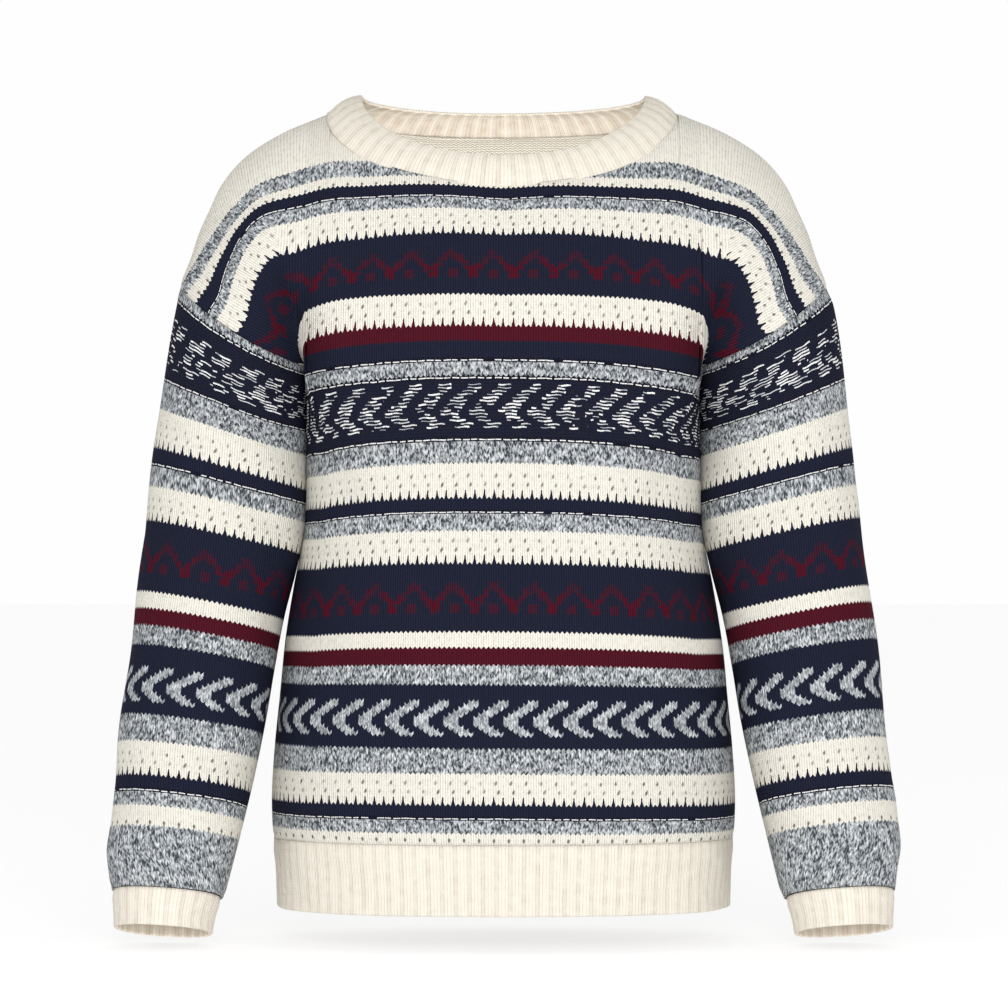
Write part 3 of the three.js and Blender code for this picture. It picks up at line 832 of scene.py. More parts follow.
def read_ramps(tree, row, steps):
    """The colour that a chart gives a row: steps are (first row, colour) from the bottom up."""
    halves = []
    for low in (0, 128):
        ramp = node(tree, "ValToRGB", {0: (row - (low - 0.75)) / 128})
        ramp.color_ramp.interpolation = "CONSTANT"
        before = [s for s in steps if s[0] <= low][-1]
        inside = [(low, before[1])] + [s for s in steps if low < s[0] < low + 128]
        elements = ramp.color_ramp.elements
        elements[0].position, elements[0].color = 0.0, inside[0][1]
        for first, value in inside[1:-1]:
            elements.new((first - low) / 128).color = value
        elements[len(elements) - 1].position = (inside[-1][0] - low) / 128
        elements[len(elements) - 1].color = inside[-1][1]
        halves.append(ramp.outputs[0])
    return blend(tree, row > 127.5, *halves)


def chart_steps(chart):
    """Two lists of steps: the yarns, and (first row, pattern, special yarn) as a colour."""
    yarns, marks, first = [], [], 0
    for yarn, pattern, rows, _ in chart:
        yarns.append((first, YARNS[yarn]))
        code = PATTERNS.index(pattern) / 8
        marks.append((first, (first / 256, code, SPECIAL.get(yarn, 0.0), 1.0)))
        first += rows
    return yarns, marks


for name, chart in (("body", BODY_CHART), ("sleeve", SLEEVE_CHART)):
    print(name, "steps:", len(chart_steps(chart)[0]))

# %% [markdown]
# ## The knitted materials
# One function makes the face of the knitting, another its reverse, where the rows show as purl
# bumps. Wool-blend yarn is dull and slightly hairy, so the shader is very rough with hardly any
# shine. Relief comes from a bump, since a stitch is only a few tenths of a millimetre deep.

# %% The shader of a yarn
def principled(tree, values):
    """A Principled shader with these inputs, tied to the material's output."""
    shader = node(tree, "BsdfPrincipled", values)
    node(tree, "OutputMaterial", {0: shader.outputs[0]})


def yarn_shader(tree, base, height, distance, through=None):
    """The shader of all yarn materials. through is the faint light, if any, that comes through
    a pale layer from its other side."""
    bump = wire(tree, "Bump", {"Height": height, "Strength": 0.9, "Distance": distance})
    values = {"Base Color": base, "Roughness": 0.92, "Normal": bump, "Specular IOR Level": 0.04}
    if through is not None:
        values.update({"Emission Color": through, "Emission Strength": 0.4})
    principled(tree, values)


print("materials so far:", len(bpy.data.materials))

# %% The common parts of a knitted material
def new_material(name):
    """An empty material and its node tree."""
    material = bpy.data.materials.new(name)
    material.use_nodes = True
    material.node_tree.nodes.clear()
    return material, material.node_tree


def knitted_material(name):
    """A new material, its tree, its map of stitches and rows, and all the stitch's numbers."""
    material, tree = new_material(name)
    spot = wire(tree, "UVMap", uv_map="knit")
    return material, tree, spot, use(tree, STITCHES, spot=spot)


def is_pattern(pattern, *names):
    """1 where the chart's pattern is one of these, else 0."""
    hits = [abs(pattern - float(PATTERNS.index(name))) < 0.4 for name in names]
    return sum(hits[1:], hits[0])


def read_chart(tree, s, chart):
    """What the chart says at each place: the stripe's first row, its pattern and its special
    yarn by the leaning rows of the stitches, and the special yarn by level rows."""
    marks = chart_steps(chart)[1]
    level_row = s.up.join("FLOOR")
    leaning = node(tree, "SeparateColor", {0: read_ramps(tree, s.row, marks)})
    level = node(tree, "SeparateColor", {0: read_ramps(tree, level_row, marks)})
    first, pattern, special = (Wire(tree, output) for output in leaning.outputs)
    return SimpleNamespace(
        start=first * 256, pattern=pattern * 8, special=special,
        level_row=level_row, level_special=Wire(tree, level.outputs[2]),
    )


print("stitch patterns:", ", ".join(PATTERNS))

# %% [markdown]
# The face is painted in layers, in this order: yarns, marl and motifs, the pale floats of the upper
# arrowheads, the thin broken lines beside the navy stripes, the holes with the painted shade inside
# them, and last the painted shade in the grooves between the stitches.

# %% Motifs, floats and broken lines
def motif_layer(tree, s, chart, base):
    """Marled stripes, and the zigzag and the arrowheads that are knitted in."""
    marl = use(tree, MARL, s).colour
    base = blend(tree, chart.special > 0.75, base, marl)
    zigzag = use(tree, ZIGZAG, s, start=chart.start)
    shown = zigzag.mask * is_pattern(chart.pattern, "zigzag")
    base = blend(tree, shown, base, colour(80, 17, 34))
    arrows = use(tree, ARROWS, s, start=chart.start, tip=8.0, rise=6.0, slope=0.85, width=3.0)
    pale = blend(tree, 0.3, marl, colour(186, 189, 194))
    return blend(tree, arrows.mask * is_pattern(chart.pattern, "arrows"), base, pale)


def float_layer(tree, s, chart, base, wide, cell, gaps):
    """Arrowheads of short pale floats, wide stitches wide, in cells of cell stitches, of which a
    share of gaps is left out. Every row is shifted a little, and each float is as thick and as
    light as chance has it."""
    shaken = s.across + chance_at(tree, chart.level_row) * 1.6
    arrows = use(
        tree, ARROWS, column=shaken, row=chart.level_row, start=chart.start, tip=8.0, rise=8.0,
        slope=0.75, width=wide,
    )
    lit = chance_at(tree, (shaken / cell).join("FLOOR"), chart.level_row)
    from_line = abs((s.up + (shaken * 2.1).join("SINE") * 0.12) % 1 - 0.5)
    thin = from_line < (lit * 0.22 + 0.06)
    floats = arrows.mask * is_pattern(chart.pattern, "purl arrows") * thin * (lit > gaps)
    return blend(tree, floats, base, blend(tree, lit, colour(150, 154, 164), colour(244, 244, 242)))


def dash_layer(tree, s, chart, base):
    """A dark row with pale dashes, one every 1.7 stitches, whose lengths are left to chance, on
    a slightly wavy line."""
    dash_row = abs(chart.level_special - 0.5) < 0.2
    step = s.across / 1.7
    length = chance_at(tree, step.join("FLOOR") + chart.level_row * 7.3)
    dash = (length > 0.04) * (step % 1 < (length * 0.35 + 0.6))
    bent = s.up + (s.across * 1.37).join("SINE") * 0.07
    base = blend(tree, dash_row, base, YARNS["dash"])
    pale = dash * dash_row * (abs(bent % 1 - 0.6) < 0.19)
    return blend(tree, pale, base, colour(232, 232, 230))


print("layers on the yarns:", ", ".join(f.__name__ for f in (motif_layer, float_layer, dash_layer)))

# %% [markdown]
# Holes and grooves come last, because their painted shade darkens whatever yarn they lie in.

# %% Holes, grooves and the whole face
def eyelets(s, chart):
    """Single small holes every three stitches, 1.3 rows above the foot of their stripe."""
    dx, dy = (s.across + 0.4) % 3 - 1.5, s.up - chart.start - 1.3
    return soft_oval(dx / 0.3, dy / 0.7, 1.2) * is_pattern(chart.pattern, "eyelet row")


def groove_shade_layer(tree, s, height, base):
    """Grooves are where the stitch is low, and their colour is painted shade: browner, unevenly
    along the yarn, and nearly black in dark yarn."""
    low = 1.0 - height
    uneven_shade = soft_noise(tree, 3.0, s.across * 1.3, s.up * 0.55)
    # Painted shade: the low parts of each stitch turn brown, and nearly black in dark yarn.
    base = blend(tree, low * ((uneven_shade - 0.44).join("MAXIMUM", 0.0) * 1.7), base, colour(60, 48, 40))
    red = wire(tree, "SeparateColor", {0: base})
    return blend(tree, low * (red < 0.1) * 0.5, base, (0.002, 0.002, 0.003, 1.0))


def knit_face(name, stripes, wide, cell, gaps):
    """The right side of the striped knitting. wide, cell and gaps shape the floats."""
    material, tree, _, s = knitted_material(name)
    chart = read_chart(tree, s, stripes)
    lace, laced = use(tree, LACE, s, start=chart.start), is_pattern(chart.pattern, "lace")
    points = lace.points * laced
    row = s.row * (1.0 - points) + (chart.start - 1.0) * points
    base = read_ramps(tree, row, chart_steps(stripes)[0])
    base = motif_layer(tree, s, chart, base)
    base = float_layer(tree, s, chart, base, wide, cell, gaps)
    base = dash_layer(tree, s, chart, base)
    hole = (lace.holes * laced).join("MAXIMUM", eyelets(s, chart))
    # Painted shade: the holes are dark brown-grey, as the shaded inside of the sweater seen through
    # them.
    base = blend(tree, hole * 0.88, base, colour(84, 76, 66))
    purled = is_pattern(chart.pattern, "purl", "purl arrows")
    height = s.knit + (s.purl - s.knit) * purled
    base = groove_shade_layer(tree, s, height, base)
    yarn_shader(tree, base, height - hole, 0.0007)
    return material


BODY_FACE = knit_face("body_knit", BODY_CHART, 3.9, 1.4, 0.17)
SLEEVE_FACE = knit_face("sleeve_knit", SLEEVE_CHART, 4.8, 2.4, 0.36)
print("nodes of the body's face:", len(BODY_FACE.node_tree.nodes))

# %% [markdown]
# The reverse shows through the neck. The cloth there is thin and pale, so a little daylight
# comes through it: a faint glow of its own colour stands for that light.

# %% The reverse
YOKE_ROW = 212.0  # the first row of the smooth cream yoke


def knit_reverse(name, stripes):
    """The wrong side: purl bumps in the colours of the stripes, each a little mixed, with painted
    shade between the bumps. The yoke is painted paler than its yarn and given a faint glow: painted
    light for the inside of the neck.
    """
    material, tree, _, s = knitted_material(name)
    yarns = read_ramps(tree, s.up.join("FLOOR"), chart_steps(stripes)[0])
    base = blend(tree, 0.12, yarns, YARNS["cream"])
    yoke = s.up > YOKE_ROW
    # Painted light: the yoke's reverse is made paler than its cream yarn, so the inside of the neck
    # looks lit.
    base = blend(tree, yoke * 0.9, base, colour(252, 244, 228))
    # Painted shade between the purl bumps.
    base = blend(tree, 0.3 - s.purl * 0.3, base, colour(80, 66, 52))
    through = blend(tree, yoke, (0, 0, 0, 1), base)
    yarn_shader(tree, base, s.purl, 0.001, through)
    return material


BODY_REVERSE = knit_reverse("body_reverse", BODY_CHART)
SLEEVE_REVERSE = knit_reverse("sleeve_reverse", SLEEVE_CHART)
print("reverses:", BODY_REVERSE.name, SLEEVE_REVERSE.name)

# %% [markdown]
# The ribs are cream all over. In each of them three knit wales stand beside one purl wale, and on
# the reverse it is the other way round. The deeper wales and the lines between the wales are
# darkened with painted shade.

# %% The ribs
def rib_knit(name, light, dark, glow=0.0, reverse=False):
    """Ribbed knitting, whose colour carries painted shade: the purl wale is darkened by a cosine of
    the wale number with four wales a turn, to the power 2.5, and the lines between the wales by one
    with a single wale a turn. On the reverse the narrow wale is the light one and the rest is
    shaded. The ribs themselves are in the mesh. glow is the share of the light through the cloth
    that shows."""
    material, tree, spot, s = knitted_material(name)
    groove = (0.5 - (s.across * 1.5708 - 0.7854).join("COSINE") * 0.5) ** 2.5
    groove = 1.0 - groove if reverse else groove
    between = ((s.across * 6.2832).join("COSINE") * 0.5 + 0.5) ** 1.5
    cloudy = wire(tree, "TexNoise", {"Vector": spot, "Scale": 0.3, "Detail": 4.0})
    shade = groove * (cloudy * (0.6 if reverse else 0.3))
    shade = shade + between * (cloudy * 0.5 - 0.05) + s.chance * 0.05
    # Painted shade: the recessed wales and the lines between wales turn from the light colour
    # towards the dark one.
    base = blend(tree, shade, light, dark)
    through = blend(tree, glow, (0, 0, 0, 1), base) if glow else None
    yarn_shader(tree, base, s.knit, 0.0004, through)
    return material


# The second colour of each rib is the colour of its painted shade.
RIB = rib_knit("rib_knit", colour(234, 228, 216), colour(150, 132, 104))
RIB_REVERSE = rib_knit("rib_reverse", colour(252, 243, 228), colour(190, 168, 138), 0.3, True)
print("materials:", len(bpy.data.materials))

# %% [markdown]
# ## The two panels
# A worn sweater creases where it bends: from the armpits towards the chest, along the sides and
# above the hem. Shallow troughs with a softer ridge beside them look like real folds, and no two
# are alike. The back has its own.

# %% Where the panels crease
PANEL_CREASES = dict(
    front=[  # start (x, z), end (x, z), bow, width, depth
        ((-112, -196), (-62, -262), 6, 11, -2.6), ((-98, -180), (-40, -236), 5, 12, 1.6),
        ((108, -200), (64, -270), -7, 12, -2.8), ((96, -182), (36, -230), -6, 13, 1.7),
        ((-128, -232), (-96, -330), -6, 13, -2.4), ((126, -236), (100, -318), 5, 12, -2.2),
        ((-150, -398), (-96, -470), 10, 18, -1.8), ((148, -420), (104, -500), -9, 17, -2.0),
        ((-60, -530), (-76, -430), 4, 20, 1.6), ((44, -535), (58, -420), -5, 22, 1.5),
        ((-8, -535), (4, -470), 3, 16, -1.2), ((118, -150), (92, -108), 4, 14, -1.6),
        ((-120, -148), (-96, -104), -4, 13, -1.5),
    ],
    back=[
        ((-106, -190), (-50, -262), 7, 13, -2.8), ((110, -196), (52, -256), -6, 12, -2.6),
        ((-92, -172), (-30, -226), 6, 14, 1.8), ((90, -176), (34, -222), -5, 14, 1.6),
        ((-132, -240), (-100, -340), -7, 15, -2.4), ((128, -250), (96, -352), 8, 14, -2.6),
        ((-70, -530), (-92, -410), 6, 22, 1.8), ((62, -532), (84, -400), -6, 24, 1.9),
        ((0, -300), (-14, -420), 5, 26, -1.6), ((-30, -110), (30, -104), 6, 22, 1.4),
    ],
)
print("creases:", {side: len(lines) for side, lines in PANEL_CREASES.items()})

# %% [markdown]
# Each panel is its half and the mirror image of it. The wall goes inwards along the normals, and
# the seams sink a little, because the yarn that joins two pieces pulls them in.

# %% Mirror images and sunken seams
def mirrored(half, flip):
    """A half grid with its mirror image in front. flip holds the signs of the mirror."""
    return np.concatenate([half[:, :0:-1] * flip, half], axis=1)


def both_halves(half, side):
    """Points of a half and its mirror image, in the order that turns the faces outwards."""
    order = slice(None) if side == "front" else slice(None, None, -1)
    return mirrored(half, np.array([-1, 1, 1]))[:, order]


def seam_dip(points, sunk, width=3.5):
    """How far the cloth sinks beside its four edges: sunk times exp(-(d/width)^2)."""
    total = np.zeros(points.shape[:2])
    for axis, from_end in ((0, False), (0, True), (1, False), (1, True)):
        steps = np.linalg.norm(np.diff(points, axis=axis), axis=2)
        steps = np.flip(steps, axis) if from_end else steps
        away = np.cumsum(steps, axis=axis)
        away = np.concatenate([np.zeros_like(np.take(away, [0], axis)), away], axis)
        away = np.flip(away, axis) if from_end else away
        total = np.maximum(total, np.exp(-((away / width) ** 2)))
    return -sunk * total


sunk = seam_dip(both_halves(half_panel("front", True), "front"), 0.9)
print("the seams sink, mm:", round(float(-sunk.min()), 2))

# %% Make the panels
def make_panel(side):
    """A panel: its grid is lifted along its normals by waves, creases and sunken seams. The
    front's stripes rise by 1.2 mm from the middle to one armpit and fall as much to the other."""
    half, flat_half = half_panel(side, True), half_panel(side, False)
    points = both_halves(half, side)
    normals = grid_normals(points, False)
    x, z = points[..., 0], points[..., 2]
    lift = waves(x, z, 11 if side == "front" else 12, 1.3)
    lift = lift * smooth((z - HEM_SEAM_Z) / 60)
    for line in PANEL_CREASES[side]:
        lift = lift + crease(x, z, *line)
    lift = lift * smooth((np.abs(points[..., 1]) - 4) / 30) + seam_dip(points, 0.9)
    outer = points + normals * lift[..., None]
    inner = outer - normals * WALL
    rise = 1.2 * x / ARMPIT_X if side == "front" else 0
    row = row_number(BODY_CHART, mirrored(cloth_heights(flat_half), 1) + rise)
    low, fanned, beyond = (mirrored(u, -1) for u in stitch_numbers(flat_half))
    cells = quads(*points.shape[:2], False)
    i, j = cells[..., 0], cells[..., 1]
    middle = half.shape[1] - 1
    in_half = np.minimum(np.abs(j[:, 0] - middle), np.abs(j[:, 1] - middle))
    upper = (i[:, 0] >= ARMPIT_ROW)[:, None]
    past = (in_half >= FOLD_COLUMN)[:, None]
    stitch = np.where(upper, np.where(past, beyond[i, j], fanned[i, j]), low[i, j])
    stitches = np.stack([stitch, row[i, j]], -1)
    return shell(f"{side}_panel_knit", outer, inner, stitches, [BODY_FACE, BODY_REVERSE])


front_panel, back_panel = make_panel("front"), make_panel("back")

# %% [markdown]
# ## Ribs at the hem
# A rib is three columns of knit stitches and one of purl stitches, which lies deeper, so the
# cloth itself is corrugated. Each band is a finer grid whose surface falls once per rib. Its free
# edge is rounded, as knitting curls round to its reverse there.

# %% Ribbed bands
WALES, RIB_STITCHES = 4, 2.8  # wales in a rib, and how many plain stitches they are as wide as
EDGE_ROWS = np.array([0, 0.3, 0.7, 1.1, 1.6])  # grid rows near a free edge, mm from it


def rib_wave(ribs, depth):
    """The corrugation at a number of ribs: a broad flat ridge and a narrow groove half way
    between two ridges: 0.4 - 1.5 exp(-(d/0.14)^2), d from the groove in ribs."""
    away = np.abs(ribs % 1 - 0.5)
    return depth * (0.4 - 1.5 * np.exp(-((away / 0.14) ** 2)))


def levelled(normals, share):
    """Normals with only a share of their upward part, so that a band stands upright."""
    normals = normals * [1, 1, share]
    return normals / np.linalg.norm(normals, axis=2, keepdims=True)


def rib_shell(name, points, normals, lift, ribs, up, from_edge, around=False):
    """A ribbed band. Both sides draw together at the free edge, by 0.42 of the wall times
    1 - sqrt(1 - u^2), with u from 0 at half a wall from the edge to 1 on it."""
    outer = points + normals * lift[..., None]
    inner = outer - normals * RIB_WALL
    within = np.clip(1 - from_edge / (0.5 * RIB_WALL), 0, 1)
    draw = (0.42 * RIB_WALL * (1 - np.sqrt(1 - within**2)))[..., None] * normals
    stitches = np.stack(np.broadcast_arrays(ribs * WALES + 0.5, up / ROW), -1)
    return shell(name, outer - draw, inner + draw, stitches, [RIB, RIB_REVERSE], around)


print("width of a hem rib, mm:", round(RIB_STITCHES * STITCH, 1))

# %% [markdown]
# The hem's band follows the ovals of the body, and its ribs keep step with the stitches above
# them. They are flatter at the free edge and at the seam.

# %% Make the hem ribs
def make_hem_rib(side):
    """Half of the hem band: the body's ovals, corrugated, and drawn in at the seam."""
    shares = np.linspace(0, 1, 350)
    heights = np.r_[HEM_Z + EDGE_ROWS, np.linspace(HEM_Z + 4, HEM_SEAM_Z, 14)]
    half = np.stack([spaced(quarter_ring(z, side), shares) for z in heights])
    points = both_halves(half, side)
    stitch = mirrored(np.broadcast_to(BODY_STITCHES * shares, half.shape[:2]), -1)
    normals = levelled(grid_normals(points, False), 0)
    heights = heights[:, None]
    up = heights - HEM_Z
    held = smooth(up / 6) * smooth((HEM_SEAM_Z - heights) / 7) * 0.8 + 0.2
    ribs = stitch / RIB_STITCHES
    lift = rib_wave(ribs, 0.22) * held + waves(stitch * 8, up * 2, 5, 0.7)
    lift = lift + np.interp(up, [0, 6, 40, 51], [0.6, 0.2, 0.3, -0.9])
    return rib_shell(f"{side}_hem_rib_knit", points, normals, lift, ribs, up, up)


front_hem, back_hem = make_hem_rib("front"), make_hem_rib("back")

# %% [markdown]
# ## Sleeves and cuffs
# A sleeve is a tube through tilted oval rings. The table gives each ring by its outer and its
# inner point, the place and half depth of its middle, how far its front and back sag below its
# plane, how far its front is turned up, and how square it is. The distance between the rings'
# middles says how far down the sleeve each one lies.

# %% Rings of the sleeves and cuffs
SLEEVE = dict(
    out_x=[238.1, 243, 249.5, 255.5, 259, 262.5, 267, 272, 277.5, 282, 285, 286, 284.5],
    out_z=[-142.7, -170, -210, -255, -289, -325, -362, -403, -446, -486, -520, -552, -581],
    in_x=[143, 143.5, 143.5, 143.7, 144.5, 151.5, 160, 167, 173.5, 181, 188.5, 195.5, 202.5],
    in_z=[-201, -221, -248.5, -288, -316, -349, -383, -421, -461, -498.5, -531, -559.5, -586.5],
    y=[0, -1, -4, -8, -12, -16, -20, -25, -31, -37, -42, -47, -52],
    depth=[62, 61, 60, 59, 58, 57, 56, 55, 54, 52, 49, 45, 39],
    sag=[7, 6, 3, 1, 0, 0, 0, 0, 0, 0, 0, 0, 0],
    tilt=[0, 0, 1, 2, 3, 4, 5.5, 7, 8, 9, 10, 11, 12],
    square=[2, 2.1, 2.2, 2.25, 2.25, 2.25, 2.25, 2.25, 2.25, 2.25, 2.25, 2.25, 2.25],
)
CUFF = dict(
    out_x=[283.2, 282.2, 281.5], out_z=[-581.3, -594, -608], in_x=[204.4, 208.5, 211.0],
    in_z=[-586.8, -599, -612.5], y=[-52, -54, -57], depth=[37, 35, 33], sag=[0, 0, 0],
    tilt=[12, 12, 12], square=[2.25, 2.25, 2.25],
)
print("rings of a sleeve:", len(SLEEVE["y"]), "and of a cuff:", len(CUFF["y"]))

# %% [markdown]
# The sleeves crease most at the inner elbow and just above the cuff. A start and an end are given
# as mm round from the outer line and mm down the sleeve.

# %% Where the sleeves crease
SLEEVE_CREASES = dict(  # start, end, bow, width, depth
    left=[
        ((60, 30), (150, 66), 8, 13, -3.2), ((40, 62), (140, 96), 7, 14, 2.4),
        ((66, 120), (150, 150), -8, 12, -3.0), ((30, 196), (128, 214), 9, 15, -2.6),
        ((54, 232), (140, 222), -6, 14, 2.2), ((-60, 150), (10, 176), 6, 18, -1.8),
        ((-100, 60), (-30, 96), 7, 18, -2.2), ((20, 352), (96, 376), 7, 13, -2.6),
        ((-70, 330), (10, 352), -8, 16, -1.9), ((-20, 384), (80, 400), 4, 12, 2.0),
        ((-150, 128), (-70, 168), 9, 15, -2.8), ((-146, 252), (-60, 236), -9, 16, -2.4),
        ((-120, 340), (-40, 376), 6, 14, -2.3),
    ],
    right=[
        ((-150, 34), (-64, 60), -8, 13, -3.0), ((-142, 70), (-50, 92), -6, 15, 2.2),
        ((-150, 136), (-70, 118), 8, 12, -2.8), ((-132, 206), (-36, 190), -8, 15, -2.8),
        ((-140, 238), (-66, 246), 6, 13, 2.0), ((-12, 140), (62, 122), -7, 18, -1.7),
        ((30, 70), (104, 48), -6, 17, -2.1), ((-94, 370), (-16, 346), -7, 13, -2.5),
        ((-12, 350), (66, 326), 8, 16, -2.0), ((-84, 402), (18, 388), -4, 12, 2.0),
        ((66, 160), (150, 122), -8, 15, -2.7), ((58, 240), (148, 262), 9, 16, -2.3),
        ((36, 372), (116, 346), -6, 14, -2.2),
    ],
)
SLIPPED = dict(  # mm down the sleeve, and how far the stripes have slipped down there
    left=([0, 110, 180, 419], [0, 0, 2.8, 2.8]),
    right=([0, 150, 215, 290, 419], [0, 0, -1.5, 0, 0]),
)
print("creases:", {side: len(lines) for side, lines in SLEEVE_CREASES.items()})

# %% [markdown]
# Both sleeves come from one table. The left one is the mirror image, with its points in the
# opposite order round each ring, so its faces still point outwards.

# %% Tubes
def signed_power(value, exponent):
    """The power of a number's size, with the number's sign."""
    return np.sign(value) * np.abs(value) ** exponent


def middle_lengths(table):
    """Distance down the middle of a tube, ring by ring."""
    t = {k: np.asarray(v, float) for k, v in table.items()}
    middles = np.stack([(t["out_x"] + t["in_x"]) / 2, t["y"], (t["out_z"] + t["in_z"]) / 2], -1)
    return arc_lengths(middles)


def tube(table, down, columns, sign):
    """Rings of a tube at distances down its middle. With t the turn from the inner point, a
    ring is middle + across * -cos^(2/n) t + front * sin^(2/n) t, its front turned up by a tilt."""
    along = middle_lengths(table)
    t = {k: curve(along, v, down)[:, None] for k, v in table.items()}
    turn = np.linspace(0, 2 * np.pi, columns, endpoint=False)[None, :]
    across_x, across_z = (t["out_x"] - t["in_x"]) / 2, (t["out_z"] - t["in_z"]) / 2
    size = np.hypot(across_x, across_z)
    under_x, under_z = across_z / size, -across_x / size
    tilt = np.radians(t["tilt"])
    out = -signed_power(np.cos(turn), 2 / t["square"])
    ahead = signed_power(np.sin(turn), 2 / t["square"])
    drop = t["sag"] * ahead**2 - t["depth"] * ahead * np.sin(tilt)
    x = (t["out_x"] + t["in_x"]) / 2 + across_x * out + under_x * drop
    z = (t["out_z"] + t["in_z"]) / 2 + across_z * out + under_z * drop
    y = t["y"] - t["depth"] * ahead * np.cos(tilt)
    points = np.stack([sign * x, y, z], -1)[::-1]
    return points if sign > 0 else np.concatenate([points[:, :1], points[:, :0:-1]], axis=1)


def round_lengths(points):
    """Distance round each ring, from 0 at its outermost column, negative before it."""
    steps = np.linalg.norm(np.roll(points, -1, axis=1) - points, axis=2)
    along = np.concatenate([np.zeros((len(points), 1)), np.cumsum(steps, axis=1)[:, :-1]], axis=1)
    return along - along[:, points.shape[1] // 2][:, None]


print("sleeve length down its middle, mm:", middle_lengths(SLEEVE)[-1].round(1))

# %% Make the sleeves
def make_sleeve(side, sign):
    """A sleeve: the tube, lifted by waves and creases that die out at the underarm seam and at
    both ends, where the seams draw it in by exp(-(d/3.5)^2) and exp(-(d/4)^2)."""
    down = np.linspace(0, SLEEVE_LENGTH, 176)
    points = tube(SLEEVE, down * middle_lengths(SLEEVE)[-1] / SLEEVE_LENGTH, 144, sign)
    down = down[::-1][:, None]
    normals = grid_normals(points, True)
    around = round_lengths(points)
    lift = waves(around, down, 21 if sign < 0 else 22, 1.3)
    for line in SLEEVE_CREASES[side]:
        lift = lift + crease(around, down, *line)
    left = SLEEVE_LENGTH - down
    closing = np.abs(around) / np.abs(around).max(axis=1, keepdims=True)
    lift = lift * (1 - smooth((closing - 0.86) / 0.14)) * smooth(down / 12)
    lift = lift * smooth(left / 12)
    lift = lift - 0.9 * np.exp(-((down / 3.5) ** 2)) - 0.8 * np.exp(-((left / 4) ** 2))
    outer = points + normals * lift[..., None]
    inner = outer - normals * WALL
    rows = row_number(SLEEVE_CHART, left + np.interp(down, *SLIPPED[side]))
    stitches = np.stack(np.broadcast_arrays(around / STITCH, rows), -1)
    materials = [SLEEVE_FACE, SLEEVE_REVERSE]
    return shell(f"{side}_sleeve_knit", outer, inner, stitches, materials, around=True)


left_sleeve, right_sleeve = make_sleeve("left", -1), make_sleeve("right", 1)

# %% [markdown]
# A cuff is a short tube with a table of its own. A whole number of ribs fits round it, so the
# pattern closes without a gap.

# %% Make the cuffs
CUFF_RIBS = 23


def make_cuff(side, sign):
    """A cuff: a short tube, corrugated, and drawn in at its seam."""
    length = middle_lengths(CUFF)[-1]
    down = np.r_[np.linspace(0, length - 3.5, 12), length - EDGE_ROWS[::-1]]
    points = tube(CUFF, down, CUFF_RIBS * 16, sign)
    up = (length - down)[::-1][:, None]
    ribs = np.arange(points.shape[1])[None, :] / points.shape[1] * CUFF_RIBS
    normals = levelled(grid_normals(points, True), 0.2)
    held = smooth(up / 5) * smooth((length - up) / 6) * 0.8 + 0.2
    lift = rib_wave(ribs, 0.26) * held
    lift = lift + np.interp(up, [0, 5, length - 6, length], [0.5, 0.2, 0.4, -0.8])
    return rib_shell(f"{side}_cuff_knit", points, normals, lift, ribs, up, up, around=True)


left_cuff, right_cuff = make_cuff("left", -1), make_cuff("right", 1)

# %% [markdown]
# ## The neckband
# The band leans inwards and up from the neck seam. Its rim lies lowest at the front. Like the
# hem it is ribbed, and the ribs crowd together towards the rim.

# %% The seam and the rim of the neckband
RIM_HALF_WIDTH = 104
RIM = dict(front=(80, 49), back=(37, 10))  # how far the rim's oval reaches, and how far it sinks
NECK_RIBS, BAND_HEIGHT = 60, 30


def closed(points):
    """A line of points with its first one again at its end."""
    return np.concatenate([points, points[:1]])


def neck_lines(columns):
    """The neck seam and the rim as rings of evenly spaced points. With t the turn from the
    middle, the rim reaches out by cos^0.75 t and sinks by cos^1.06 t."""
    turn = np.linspace(0, 2 * np.pi, 4 * columns, endpoint=False) - np.pi / 2
    x = NECK_HALF_WIDTH * np.sin(turn)
    ahead = np.abs(np.cos(turn))
    seams, rims = np.empty((len(x), 3)), np.empty((len(x), 3))
    for side, chosen in (("front", np.cos(turn) >= 0), ("back", np.cos(turn) < 0)):
        seams[chosen] = body_column(x[chosen], side, np.ones(chosen.sum()))
        depth, drop = RIM[side]
        rims[chosen] = np.stack([
            RIM_HALF_WIDTH * x[chosen] / NECK_HALF_WIDTH,
            RIDGE_Y + WAY[side] * depth * ahead[chosen] ** 0.75,
            -drop * ahead[chosen] ** 1.06,
        ], -1)
    along = arc_lengths((closed(seams) + closed(rims)) / 2)
    wanted = np.arange(columns) / columns * along[-1]
    return [
        np.stack([np.interp(wanted, along, c) for c in closed(line).T], -1)
        for line in (seams, rims)
    ]


seam_line, rim_line = neck_lines(NECK_RIBS * 15)
print("points round the neck:", len(seam_line), "height of the rim's corner, mm:",
      rim_line[:, 2].max().round(1))

# %% Make the neckband
def make_neckband(seams, rims):
    """The band runs straight from the neck seam to the rim, with a bulge of 3 sin(pi s)."""
    columns = len(seams)
    share = np.r_[-0.07, np.linspace(0, 0.94, 15), 0.965, 0.98, 0.99, 1.0][:, None]
    points = seams + (rims - seams) * share[..., None]
    points[..., 2] += 3 * np.sin(np.pi * np.maximum(share, 0))
    normals = grid_normals(points, True)
    up = share * BAND_HEIGHT
    held = smooth(up / 5) * (0.85 - 0.35 * smooth((up - 24) / 6)) + 0.15
    ribs = np.arange(columns)[None, :] / 15
    lift = rib_wave(ribs, 0.24) * held + waves(points[..., 0], points[..., 1], 8, 0.6)
    lift = lift + np.interp(up, [0, 5], [-0.3, 0.0])
    from_edge = BAND_HEIGHT - up
    return rib_shell("neckband_knit", points, normals, lift, ribs, up, from_edge, around=True)


neckband = make_neckband(seam_line, rim_line)

